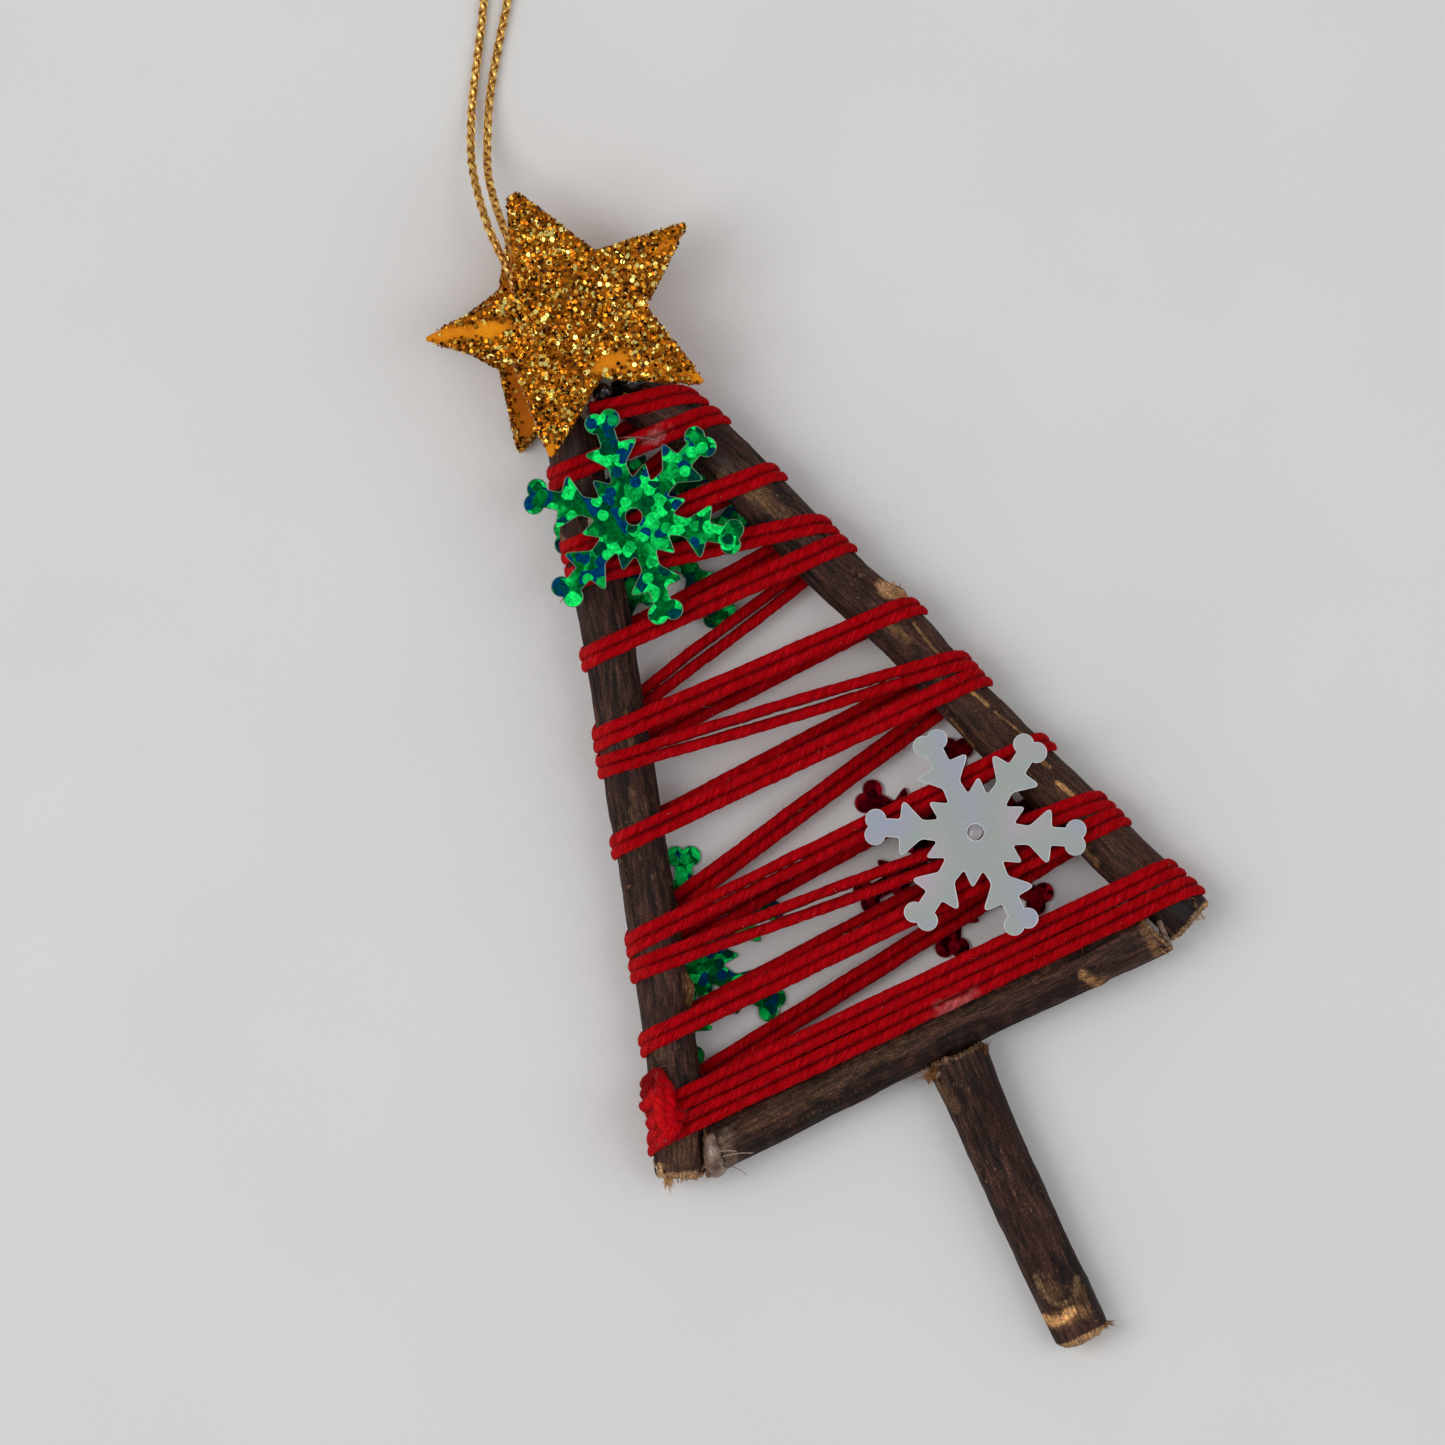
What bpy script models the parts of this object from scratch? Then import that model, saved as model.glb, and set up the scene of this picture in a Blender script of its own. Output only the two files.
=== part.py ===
"""Twig Christmas tree ornament, lying on its back on a table.

Four bark twigs make the tree. A pair of red yarn strands is wound down both legs, two foam
stars hold the top, five snowflake sequins are glued on, and a thin cord makes the hanging loop.
Units are metres, +Y runs up the tree, +Z is the front, and the table is at z = 0.
"""
import math

import bmesh
import bpy
import numpy as np

MM = 0.001
GAP = 0.32 * MM                      # clearance that touching pieces keep

# Twigs: diameters, and the centre lines seen from the front
LEFT_LEG_D = 4.7 * MM
RIGHT_LEG_D = 5.0 * MM
CROSSBAR_D = 4.6 * MM
TRUNK_D = 5.2 * MM
TRUNK_LENGTH = 27.6 * MM
TWIG_SIDES = 12
TWIG_STEP = 2.9 * MM                 # distance between the rings of a twig
UNEVEN = 0.025                       # how far a twig is out of round
UNEVEN_LENGTH = 4.1 * MM
FLARE = 0.14                         # how much wider the trunk's torn top is
FLARE_LENGTH = 2.5 * MM
END_SHARE = 0.94                     # a cut end's width, with its edge worn off
LEFT_LEG_ROUTE = ((-26.0, -27.8), (-22.2, -19.1), (-17.2, -4.7), (-13.3, 7.5),
                  (-9.7, 18.5), (-6.7, 28.5), (-4.9, 34.3), (-2.7, 41.5))
RIGHT_LEG_ROUTE = ((25.9, -28.2), (22.4, -18.6), (16.9, -1.5), (14.7, 6.5),
                   (11.7, 14.0), (8.8, 23.3), (6.4, 30.7), (3.8, 35.7), (1.0, 38.8))
CROSSBAR_Y = -27.4 * MM
CROSSBAR_SLOPE = -0.015
CROSSBAR_BOW = 0.35 * MM
TRUNK_X = 1.3 * MM
TRUNK_LEAN = -0.045
TRUNK_BOW = -0.15 * MM
# Bumps on the bark: (distance along, angle round in degrees, height, reach)
LEFT_LEG_BUMP = (10.5 * MM, 0.0, 0.6 * MM, 1.6 * MM)
RIGHT_LEG_BUMP = (46.0 * MM, 0.0, 0.5 * MM, 1.8 * MM)
CROSSBAR_BUMP = (35.0 * MM, 0.0, 0.4 * MM, 1.6 * MM)
TRUNK_BUMP = (22.0 * MM, 90.0, 0.35 * MM, 3.0 * MM)

# Yarn: two strands side by side, wound down the legs
STRAND_D = 1.05 * MM
FIRST_PASS_START = (-1.9, 37.5)
LEFT_CROSSINGS = (33.7, 27.4, 24.95, 17.7, 10.75, 8.35, 1.3, -7.2, -9.65, -16.0, -22.0, -24.4)
RIGHT_CROSSINGS = (34.3, 31.85, 24.9, 18.5, 15.95, 8.3, 1.75, -0.75, -8.0, -15.1, -17.6,
                   -23.05, -25.45)
WRAP_STEPS = 6                       # steps of the half turn round a leg
WRAP_ROUNDS = 10                     # times that the wraps are fitted to their passes
YARN_CLEAR = 0.5 * MM                # the lowest strand's height over the table
YARN_END_Y = -26.2 * MM
KNOT_Y = -19.5 * MM
KNOT_OVER = ((0.5, 0.6, 0.0), (1.5, -0.9, 0.0), (1.5, -2.7, 0.0))

# Foam stars: a tip and the valley after it, as (degrees round, share of the star's radius)
FOAM_T = 2.0 * MM
FRONT_STAR_R = 13.0 * MM
FRONT_STAR_CENTRE = (0.95, 45.85)
FRONT_STAR_CORNERS = (((90.3, 0.965), (130.3, 0.474)), ((160.9, 1.06), (190.0, 0.555)),
                      ((232.7, 0.99), (266.0, 0.465)), ((306.3, 1.0), (342.0, 0.51)),
                      ((373.5, 1.0), (406.5, 0.5)))
BACK_STAR_R = 11.5 * MM
BACK_STAR_CENTRE = (-0.96, 45.9)
BACK_STAR_CORNERS = (((83.0, 1.0), (120.0, 0.56)), ((157.0, 0.92), (188.0, 0.57)),
                     ((226.0, 1.01), (262.0, 0.5)), ((298.0, 1.0), (334.0, 0.5)),
                     ((370.0, 1.0), (406.0, 0.5)))
STAR_TIP_BLUNT = 0.35 * MM

# Snowflake sequins: (name, centre, turn of the first arm, arms left out)
SEQUIN_R = 10.15 * MM
SEQUIN_T = 0.25 * MM
SEQUIN_HOLE_D = 1.5 * MM
FRONT_SEQUINS = (("sequin_front_green", (-2.53, 27.4), 21.4, ()),
                 ("sequin_front_pearl", (12.1, -12.2), 30.0, ()))
BACK_SEQUINS = (("sequin_back_green_upper", (-0.64, 25.1), 36.5, ()),
                ("sequin_back_green_lower", (-16.56, -10.3), 4.0, (2, 3)),
                ("sequin_back_red", (9.8, -12.65), 2.0, ()))

# Hanging cord: one length, doubled into a loop, with both ends between the stars
CORD_D = 0.85 * MM
CORD_STEPS = 71
CORD_TABLE_Z = 0.47
CORD_HELD_Z = 9.42
CORD_ROUTE = ((-3.55, 41.0, CORD_HELD_Z), (-3.5, 44.5, CORD_HELD_Z), (-3.1, 48.5, CORD_HELD_Z),
              (-2.55, 52.2, CORD_HELD_Z - 0.05), (-2.5, 54.6, 9.0), (-2.35, 57.0, 7.9),
              (-1.95, 59.4, 6.1), (-1.35, 61.9, 4.1), (-0.45, 64.2, 2.3), (1.45, 67.7, 0.85),
              (4.1, 71.7, CORD_TABLE_Z), (6.6, 75.5, CORD_TABLE_Z), (9.4, 80.4, CORD_TABLE_Z),
              (11.9, 86.2, CORD_TABLE_Z), (13.9, 92.4, CORD_TABLE_Z),
              (15.9, 98.6, CORD_TABLE_Z), (19.0, 104.2, CORD_TABLE_Z),
              (23.6, 106.8, CORD_TABLE_Z), (27.6, 104.6, CORD_TABLE_Z),
              (28.1, 99.4, CORD_TABLE_Z), (25.4, 94.2, CORD_TABLE_Z),
              (21.2, 89.2, CORD_TABLE_Z), (16.7, 84.2, CORD_TABLE_Z),
              (12.2, 79.2, CORD_TABLE_Z), (8.6, 74.6, CORD_TABLE_Z),
              (5.4, 70.6, CORD_TABLE_Z), (2.75, 66.9, 0.85), (0.75, 63.3, 2.3),
              (-0.2, 61.2, 4.1), (-0.75, 59.0, 6.1), (-1.1, 56.7, 7.9), (-1.3, 54.3, 9.0),
              (-1.4, 51.6, CORD_HELD_Z - 0.05), (-1.65, 48.0, CORD_HELD_Z),
              (-1.9, 44.6, CORD_HELD_Z), (-2.15, 41.3, CORD_HELD_Z))


def material(name, colour, roughness, metallic=0.0):
    """A Principled material of one colour."""
    made = bpy.data.materials.new(name)
    made.use_nodes = True
    shader = made.node_tree.nodes["Principled BSDF"]
    shader.inputs["Base Color"].default_value = (*colour, 1.0)
    shader.inputs["Roughness"].default_value = roughness
    shader.inputs["Metallic"].default_value = metallic
    return made


def add_object(name, points, faces, finish, tree, smooth_angle=35.0):
    """Make a mesh object from points in metres and faces, parented to the tree."""
    mesh = bpy.data.meshes.new(name)
    mesh.from_pydata([tuple(p) for p in points], [], faces)
    mesh.materials.append(finish)
    work = bmesh.new()
    work.from_mesh(mesh)
    bmesh.ops.recalc_face_normals(work, faces=work.faces)
    work.to_mesh(mesh)
    work.free()
    mesh.shade_smooth()
    mesh.set_sharp_from_angle(angle=math.radians(smooth_angle))
    thing = bpy.data.objects.new(name, mesh)
    bpy.context.scene.collection.objects.link(thing)
    thing.parent = tree
    return thing


def smooth_route(points, count):
    """Evenly spaced points on the Catmull-Rom curve through the given ones."""
    knots = np.array(points, dtype=float)
    before = 2 * knots[0] - knots[1]
    after = 2 * knots[-1] - knots[-2]
    knots = np.vstack([before, knots, after])
    steps = np.linspace(0.0, 1.0, 24, endpoint=False)[:, None]
    dense = []
    for a, b, c, d in zip(knots[:-3], knots[1:-2], knots[2:-1], knots[3:]):
        dense.append(0.5 * (2 * b + (c - a) * steps + (2 * a - 5 * b + 4 * c - d) * steps ** 2
                            + (3 * b - a - 3 * c + d) * steps ** 3))
    dense = np.vstack(dense + [knots[-2:-1]])
    run = np.concatenate([[0.0], np.cumsum(np.linalg.norm(np.diff(dense, axis=0), axis=1))])
    at = np.linspace(0.0, run[-1], count)
    return np.column_stack([np.interp(at, run, dense[:, k]) for k in range(dense.shape[1])])


def unit(vectors):
    """Rows scaled to length one."""
    return vectors / np.linalg.norm(vectors, axis=-1, keepdims=True)


def tangents(points):
    """The direction of a path at each of its points."""
    return unit(np.gradient(points, axis=0))


def sweep_faces(rings, sides):
    """Quads between neighbouring rings, and a cap on each end."""
    faces = []
    for i in range(rings - 1):
        for j in range(sides):
            k = (j + 1) % sides
            faces.append((i * sides + j, i * sides + k, (i + 1) * sides + k, (i + 1) * sides + j))
    faces.append(tuple(range(sides))[::-1])
    faces.append(tuple((rings - 1) * sides + j for j in range(sides)))
    return faces


# Height of the twigs over the table: they slope from the stars down to the lowest yarn
LEG_R = max(LEFT_LEG_D, RIGHT_LEG_D) / 2
APEX_Y = 34.5 * MM
BASE_Y = -25.0 * MM
APEX_Z = FOAM_T + GAP + STRAND_D + GAP + LEG_R
BASE_Z = YARN_CLEAR + STRAND_D + GAP + LEG_R


def twig_height(y):
    """Height of the twigs' centre lines at a place along the tree."""
    return BASE_Z + (APEX_Z - BASE_Z) * (y - BASE_Y) / (APEX_Y - BASE_Y)


def front_height(y):
    """Height of the front face of the yarn at a place along the tree."""
    return twig_height(y) + LEG_R + GAP + STRAND_D


def back_height(y):
    """Height of the back face of the yarn at a place along the tree."""
    return twig_height(y) - LEG_R - GAP - STRAND_D


def leg_line(route):
    """The centre line of a leg as many points, at its height over the table."""
    flat = smooth_route(np.array(route) * MM, 240)
    return np.column_stack([flat, twig_height(flat[:, 1])])


def twig(name, line, diameter, bump, finish, tree, flare=0.0, cut_start=None, cut_end=None):
    """A twig: uneven rings along its centre line, with a bump where a side shoot grew.

    A cut is the direction of the flat end, where it isn't square.
    """
    length = np.linalg.norm(np.diff(line, axis=0), axis=1).sum()
    rings = max(6, round(length / TWIG_STEP) + 1)
    run = np.linspace(0.0, length, rings)
    centres = smooth_route(line, rings)
    along = tangents(centres)
    across = unit(np.cross(along, (0.0, 0.0, 1.0)))
    up = np.cross(across, along)
    angle = np.arange(TWIG_SIDES) * 2 * math.pi / TWIG_SIDES
    wave = 1.0 + UNEVEN * np.sin(run / UNEVEN_LENGTH)[:, None] * np.cos(2 * angle)
    radius = diameter / 2 * wave
    radius *= 1.0 + flare * np.exp(-run / FLARE_LENGTH)[:, None]
    place, turn, height, reach = bump
    near = np.exp(-((run - place) / reach) ** 2)[:, None]
    side = np.cos(angle - math.radians(turn)).clip(0.0) ** 3
    radius = radius + height * near * side
    radius = radius * np.where((run == 0.0) | (run == run[-1]), END_SHARE, 1.0)[:, None]
    points = (centres[:, None] + radius[..., None] * (np.cos(angle)[:, None] * across[:, None]
                                                      + np.sin(angle)[:, None] * up[:, None]))
    for cut, ring in ((cut_start, 0), (cut_end, rings - 1)):
        if cut is not None:
            away = points[ring] - centres[ring]
            lean = cut[:2] / np.dot(cut[:2], across[ring][:2])
            offset = away @ across[ring]
            points[ring, :, :2] += offset[:, None] * (lean - across[ring][:2])
    return add_object(name, points.reshape(-1, 3), sweep_faces(rings, TWIG_SIDES), finish, tree)


def leg_station(line, reach, side, y):
    """Where on a leg the yarn's outermost point lies at y: centre, direction and outward."""
    along = tangents(line)
    outward = unit(np.cross(along, (0.0, 0.0, 1.0))) * side
    outer_y = line[:, 1] + outward[:, 1] * reach
    order = np.argsort(outer_y)
    pick = [np.interp(y, outer_y[order], values[order]) for values in
            (line[:, 0], line[:, 1], line[:, 2], along[:, 0], along[:, 1], along[:, 2])]
    centre = np.array(pick[:3])
    direction = unit(np.array(pick[3:]))
    return centre, direction, unit(np.cross(direction, (0.0, 0.0, 1.0))) * side


def wrap(station, reach, before, after, from_back):
    """The half turn round a leg: a helix whose pitch follows the passes on either side."""
    centre, direction, outward = station
    turn = np.linspace(-0.5, 0.5, WRAP_STEPS + 1) * math.pi
    if not from_back:
        turn = -turn
    slopes = [abs(np.dot(d, outward)) for d in (before, after)]
    drift_in = np.dot(before, direction) / slopes[0]
    drift_out = np.dot(after, direction) / slopes[1]
    share = np.abs(turn) * reach
    first = np.arange(len(turn)) < len(turn) / 2
    drift = np.where(first, -drift_in * share, drift_out * share)
    up = np.cross(direction, outward)
    up = up if up[2] > 0 else -up
    normal = np.cos(turn)[:, None] * outward + np.sin(turn)[:, None] * up
    return centre + reach * normal + drift[:, None] * direction, normal


def yarn_route(left_line, right_line):
    """The yarn's whole winding: points on its centre line, and the way its flat side faces."""
    left_reach = LEFT_LEG_D / 2 + GAP + STRAND_D / 2
    right_reach = RIGHT_LEG_D / 2 + GAP + STRAND_D / 2
    start = np.array([*FIRST_PASS_START, 0.0]) * MM
    start[2] = twig_height(start[1]) + LEG_R + GAP + STRAND_D / 2
    stations = [None]
    sides = [0]
    for i, right_y in enumerate(RIGHT_CROSSINGS):
        stations.append(leg_station(right_line, right_reach, 1, right_y * MM))
        sides.append(1)
        if i < len(LEFT_CROSSINGS):
            stations.append(leg_station(left_line, left_reach, -1, LEFT_CROSSINGS[i] * MM))
            sides.append(-1)
    centres = [start] + [s[0] for s in stations[1:]]
    last = left_line[np.argmin(np.abs(left_line[:, 1] - YARN_END_Y))]
    end = np.array([last[0], last[1], back_height(last[1]) + STRAND_D / 2])
    centres.append(end)
    arrives = np.array(centres)          # where each wrap starts, and where it leaves the leg
    leaves = np.array(centres)
    for fitting in range(WRAP_ROUNDS):
        passes = unit((arrives[1:] - leaves[:-1]) * (1, 1, 0))
        wraps = [wrap(stations[i], right_reach if sides[i] > 0 else left_reach, passes[i - 1],
                      passes[i], sides[i] < 0) for i in range(1, len(stations))]
        arrives[1:-1] = (arrives[1:-1] + [route[0] for route, normal in wraps]) / 2
        leaves[1:-1] = (leaves[1:-1] + [route[-1] for route, normal in wraps]) / 2
    points = np.vstack([start[None], *(route for route, normal in wraps), end[None]])
    normals = np.vstack([[[0.0, 0.0, 1.0]], *(normal for route, normal in wraps),
                         [[0.0, 0.0, -1.0]]])
    return points, normals


def pair_section(strand_d):
    """Outline of two strands side by side: two round lobes with a groove between them."""
    r = strand_d / 2
    lobe = [(r + r * math.cos(a), r * math.sin(a)) for a in np.radians((-75.0, 0.0, 75.0))]
    outline = lobe + [(0.0, 0.5 * r)] + [(-x, -y) for x, y in lobe] + [(0.0, -0.5 * r)]
    return np.array(outline)


def ribbon(name, points, normals, finish, tree):
    """Carry the pair of strands along a route, with its flat side facing the normals."""
    along = tangents(points)
    across = unit(np.cross(along, normals))
    facing = np.cross(across, along)
    section = pair_section(STRAND_D)
    rings = (points[:, None] + section[:, 0][:, None] * across[:, None]
             + section[:, 1][:, None] * facing[:, None])
    faces = sweep_faces(len(points), len(section))
    return add_object(name, rings.reshape(-1, 3), faces, finish, tree, 60.0)


def yarn_knot(left_line, finish, tree):
    """The yarn's last end: up round the left leg, then down over the lowest two passes."""
    reach = LEFT_LEG_D / 2 + GAP + STRAND_D / 2
    station = leg_station(left_line, reach, -1, KNOT_Y)
    across = np.array([1.0, -0.05, 0.0])
    points, normal = wrap(station, reach, -across, across, True)
    half = WRAP_STEPS // 2
    points, normal = points[half:-1], normal[half:-1]
    centre = station[0]
    top = front_height(centre[1]) + GAP + STRAND_D / 2
    over = centre + np.array(KNOT_OVER) * MM
    over[:, 2] = (top - 0.5 * GAP, top, top)
    points = np.vstack([points, over])
    normal = np.vstack([normal, np.tile([0.0, 0.0, 1.0], (3, 1))])
    return ribbon("yarn_knot", points, normal, finish, tree)


def star_outline(radius, corners):
    """Star outline from its tips and valleys, each tip cut a little blunt."""
    outline = []
    blunt = STAR_TIP_BLUNT / radius
    for (tip, reach), (valley, depth) in corners:
        for turn, share in ((math.radians(tip) - blunt, reach), (math.radians(tip) + blunt, reach),
                            (math.radians(valley), depth)):
            outline.append((radius * share * math.cos(turn), radius * share * math.sin(turn)))
    return outline


def plate(name, sectors, edges, low, thickness, finish, tree):
    """A flat plate: face outlines over shared flat points, with walls along its edges."""
    flat, faces = sectors
    count = len(flat)
    points = [(x, y, low) for x, y in flat] + [(x, y, low + thickness) for x, y in flat]
    solid = [tuple(reversed(face)) for face in faces]
    solid += [tuple(i + count for i in face) for face in faces]
    for loop in edges:
        for i, j in zip(loop, loop[1:] + loop[:1]):
            solid.append((i, j, j + count, i + count))
    return add_object(name, points, solid, finish, tree)


def star(name, centre, radius, corners, low, finish, tree):
    """A foam star with its centre given in millimetres."""
    flat = [(x + centre[0] * MM, y + centre[1] * MM) for x, y in star_outline(radius, corners)]
    loop = list(range(len(flat)))
    return plate(name, (flat, [tuple(loop)]), [loop], low, FOAM_T, finish, tree)


def arm_half():
    """Half of a snowflake arm, from its root out to its end, as shares of the sequin's radius."""
    barb = [(0.50, 0.07), (0.635, 0.255), (0.675, 0.255), (0.665, 0.07)]
    lobe_x, lobe_y, lobe_r = 0.897, 0.076, 0.097
    lobe = [(lobe_x + lobe_r * math.cos(a), lobe_y + lobe_r * math.sin(a))
            for a in np.radians((160.0, 100.0, 45.0, -10.0))]
    return [(0.345, 0.08)] + barb + [(0.815, 0.07)] + lobe


def sequin(name, centre, turn, missing, low, finish, tree):
    """A snowflake sequin: six arms round a small hole, with a short tooth between arms."""
    flat = []
    hole = []
    outline = []
    starts = []
    hole_r = SEQUIN_HOLE_D / 2
    for k in range(6):
        arm = math.radians(turn + 60 * k)
        for part in (-1, 0):
            hole.append(len(flat))
            a = arm + math.radians(30 * part)
            flat.append((hole_r * math.cos(a), hole_r * math.sin(a)))
    for k in range(6):
        arm = math.radians(turn + 60 * k)
        tooth = arm - math.radians(30)
        starts.append(len(outline))
        outline.append(len(flat))
        flat.append((0.49 * SEQUIN_R * math.cos(tooth), 0.49 * SEQUIN_R * math.sin(tooth)))
        if k in missing:
            continue
        half = arm_half()
        whole = [(x, -y) for x, y in half] + [(0.965, 0.0)] + half[::-1]
        for x, y in whole:
            outline.append(len(flat))
            flat.append((SEQUIN_R * (x * math.cos(arm) - y * math.sin(arm)),
                         SEQUIN_R * (x * math.sin(arm) + y * math.cos(arm))))
    faces = []
    for k in range(6):
        stop = starts[k + 1] if k < 5 else len(outline)
        outer = outline[starts[k]:stop] + [outline[starts[(k + 1) % 6]]]
        inner = [hole[(2 * k + i) % 12] for i in (2, 1, 0)]
        faces.append(tuple(outer + inner))
    flat = [(x + centre[0] * MM, y + centre[1] * MM) for x, y in flat]
    return plate(name, (flat, faces), [outline, hole[::-1]], low, SEQUIN_T, finish, tree)


def hanging_cord(finish, tree):
    """The doubled cord: a round tube along the smooth route."""
    route = smooth_route(np.array(CORD_ROUTE), CORD_STEPS + 1) * MM
    curve = bpy.data.curves.new("hanging_cord", "CURVE")
    curve.dimensions = "3D"
    spline = curve.splines.new("POLY")
    spline.points.add(len(route) - 1)
    for point, place in zip(spline.points, route):
        point.co = (*place, 1.0)
    curve.bevel_depth = CORD_D / 2
    curve.bevel_resolution = 2
    curve.use_fill_caps = True
    curve.materials.append(finish)
    thing = bpy.data.objects.new("hanging_cord", curve)
    bpy.context.scene.collection.objects.link(thing)
    thing.parent = tree
    return thing


def crossbar_line(left_line, right_line):
    """The crossbar's centre line, fitted between the insides of the legs."""
    x = np.linspace(left_line[:, 0].min(), right_line[:, 0].max(), 400)
    middle = (x[0] + x[-1]) / 2
    y = CROSSBAR_Y + CROSSBAR_SLOPE * x + CROSSBAR_BOW * (1 - ((x - middle) / (x[-1] - middle)) ** 2)
    order = np.argsort(left_line[:, 1])
    left_x = np.interp(y, left_line[order, 1], left_line[order, 0])
    order = np.argsort(right_line[:, 1])
    right_x = np.interp(y, right_line[order, 1], right_line[order, 0])
    lean = 1.12                      # the legs lean, so their sides lie a little further in
    inside = ((x > left_x + (LEFT_LEG_D / 2 + GAP) * lean)
              & (x < right_x - (RIGHT_LEG_D / 2 + GAP) * lean))
    return np.column_stack([x, y, twig_height(y)])[inside]


def trunk_line(crossbar):
    """The trunk's centre line, from under the crossbar down to the table."""
    top_y = np.interp(TRUNK_X, crossbar[:, 0], crossbar[:, 1]) - CROSSBAR_D / 2 * 1.05 - GAP
    run = np.linspace(0.0, TRUNK_LENGTH, 12)
    top_z = twig_height(top_y)
    drop = (top_z - TRUNK_D / 2) * run / TRUNK_LENGTH
    bow = TRUNK_BOW * np.sin(run / TRUNK_LENGTH * math.pi)
    return np.column_stack([TRUNK_X + TRUNK_LEAN * run + bow, top_y - run, top_z - drop])


def main():
    for old in list(bpy.data.objects):
        bpy.data.objects.remove(old, do_unlink=True)
    bark = material("bark", (0.045, 0.028, 0.024), 0.8)
    yarn = material("yarn", (0.45, 0.008, 0.015), 0.85)
    foam = material("glitter_foam", (0.72, 0.36, 0.04), 0.4, 0.3)
    green = material("sequin_green", (0.0, 0.3, 0.06), 0.25, 0.7)
    pearl = material("sequin_pearl", (0.45, 0.48, 0.58), 0.25, 0.5)
    red = material("sequin_red", (0.25, 0.0, 0.01), 0.25, 0.5)
    gold = material("cord_gold", (0.5, 0.28, 0.06), 0.35, 0.7)

    tree = bpy.data.objects.new("ornament", None)
    bpy.context.scene.collection.objects.link(tree)

    left_line = leg_line(LEFT_LEG_ROUTE)
    right_line = leg_line(RIGHT_LEG_ROUTE)
    crossbar = crossbar_line(left_line, right_line)
    trunk = trunk_line(crossbar)
    made = [
        twig("twig_left_leg", left_line, LEFT_LEG_D, LEFT_LEG_BUMP, bark, tree),
        twig("twig_right_leg", right_line, RIGHT_LEG_D, RIGHT_LEG_BUMP, bark, tree),
        twig("twig_crossbar", crossbar, CROSSBAR_D, CROSSBAR_BUMP, bark, tree,
             cut_start=tangents(left_line)[0], cut_end=tangents(right_line)[0]),
        twig("twig_trunk", trunk, TRUNK_D, TRUNK_BUMP, bark, tree, flare=FLARE),
        ribbon("red_yarn", *yarn_route(left_line, right_line), yarn, tree),
        yarn_knot(left_line, yarn, tree),
        star("star_back", BACK_STAR_CENTRE, BACK_STAR_R, BACK_STAR_CORNERS, 0.0, foam, tree),
    ]
    star_low = front_height(FIRST_PASS_START[1] * MM) + GAP
    made.append(star("star_front", FRONT_STAR_CENTRE, FRONT_STAR_R, FRONT_STAR_CORNERS, star_low,
                     foam, tree))
    finishes = {"sequin_front_pearl": pearl, "sequin_back_red": red}
    for name, centre, turn, missing in FRONT_SEQUINS:
        low = front_height(centre[1] * MM + SEQUIN_R) + GAP
        made.append(sequin(name, centre, turn, missing, low, finishes.get(name, green), tree))
    for name, centre, turn, missing in BACK_SEQUINS:
        low = back_height(centre[1] * MM - SEQUIN_R) - GAP - SEQUIN_T
        made.append(sequin(name, centre, turn, missing, max(low, 0.0), finishes.get(name, green),
                           tree))
    hanging_cord(gold, tree)

    corners = np.array([c for thing in made for c in thing.bound_box])
    middle = (corners.min(axis=0) + corners.max(axis=0)) / 2
    tree.location = (-middle[0], -middle[1], 0.0)


main()
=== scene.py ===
"""Twig Christmas tree ornament, dressed: bark, plied yarn, glitter stars, sequins and cord.

Every piece is worked out in millimetres in the tree's own frame (x across, y up the tree, z
towards the front), with numpy, and is moved onto the CAD model when its mesh is filled.
"""
import math

import bpy
import numpy as np
from bpy.props import FloatProperty, FloatVectorProperty, IntProperty, PointerProperty
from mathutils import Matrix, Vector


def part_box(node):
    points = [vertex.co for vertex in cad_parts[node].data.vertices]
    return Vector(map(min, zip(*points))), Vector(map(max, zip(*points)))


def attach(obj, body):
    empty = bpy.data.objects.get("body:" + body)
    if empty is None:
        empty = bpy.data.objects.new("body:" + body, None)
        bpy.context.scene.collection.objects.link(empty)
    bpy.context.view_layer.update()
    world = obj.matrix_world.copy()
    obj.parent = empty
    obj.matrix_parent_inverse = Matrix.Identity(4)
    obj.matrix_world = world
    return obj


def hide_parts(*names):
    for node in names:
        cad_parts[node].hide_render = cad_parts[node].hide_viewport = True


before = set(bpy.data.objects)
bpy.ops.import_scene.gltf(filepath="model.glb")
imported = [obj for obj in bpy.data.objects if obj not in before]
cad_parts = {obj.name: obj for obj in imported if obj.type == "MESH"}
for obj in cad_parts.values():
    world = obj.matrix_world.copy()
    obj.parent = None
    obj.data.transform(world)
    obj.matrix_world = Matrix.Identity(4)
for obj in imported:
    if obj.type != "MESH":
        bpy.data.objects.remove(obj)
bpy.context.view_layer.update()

bl_info = {
    "name": "Twig tree ornament",
    "version": (1, 0, 0),
    "blender": (4, 5, 0),
    "location": "View3D > Sidebar > Ornament",
    "description": "Dresses the twig tree ornament: bark, yarn, stars, sequins, cord and stage",
    "category": "Object",
}

MM = 0.001

# The part's own values, in millimetres
GAP = 0.32
LEFT_LEG_D = 4.7
RIGHT_LEG_D = 5.0
CROSSBAR_D = 4.6
TRUNK_D = 5.2
TRUNK_LENGTH = 27.6
LEFT_LEG_ROUTE = ((-26.0, -27.8), (-22.2, -19.1), (-17.2, -4.7), (-13.3, 7.5),
                  (-9.7, 18.5), (-6.7, 28.5), (-4.9, 34.3), (-2.7, 41.5))
RIGHT_LEG_ROUTE = ((25.9, -28.2), (22.4, -18.6), (16.9, -1.5), (14.7, 6.5),
                   (11.7, 14.0), (8.8, 23.3), (6.4, 30.7), (3.8, 35.7), (1.0, 38.8))
CROSSBAR_Y = -27.4
CROSSBAR_SLOPE = -0.015
CROSSBAR_BOW = 0.35
TRUNK_X = 1.3
TRUNK_LEAN = -0.045
TRUNK_BOW = -0.15
STRAND_D = 1.05
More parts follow.
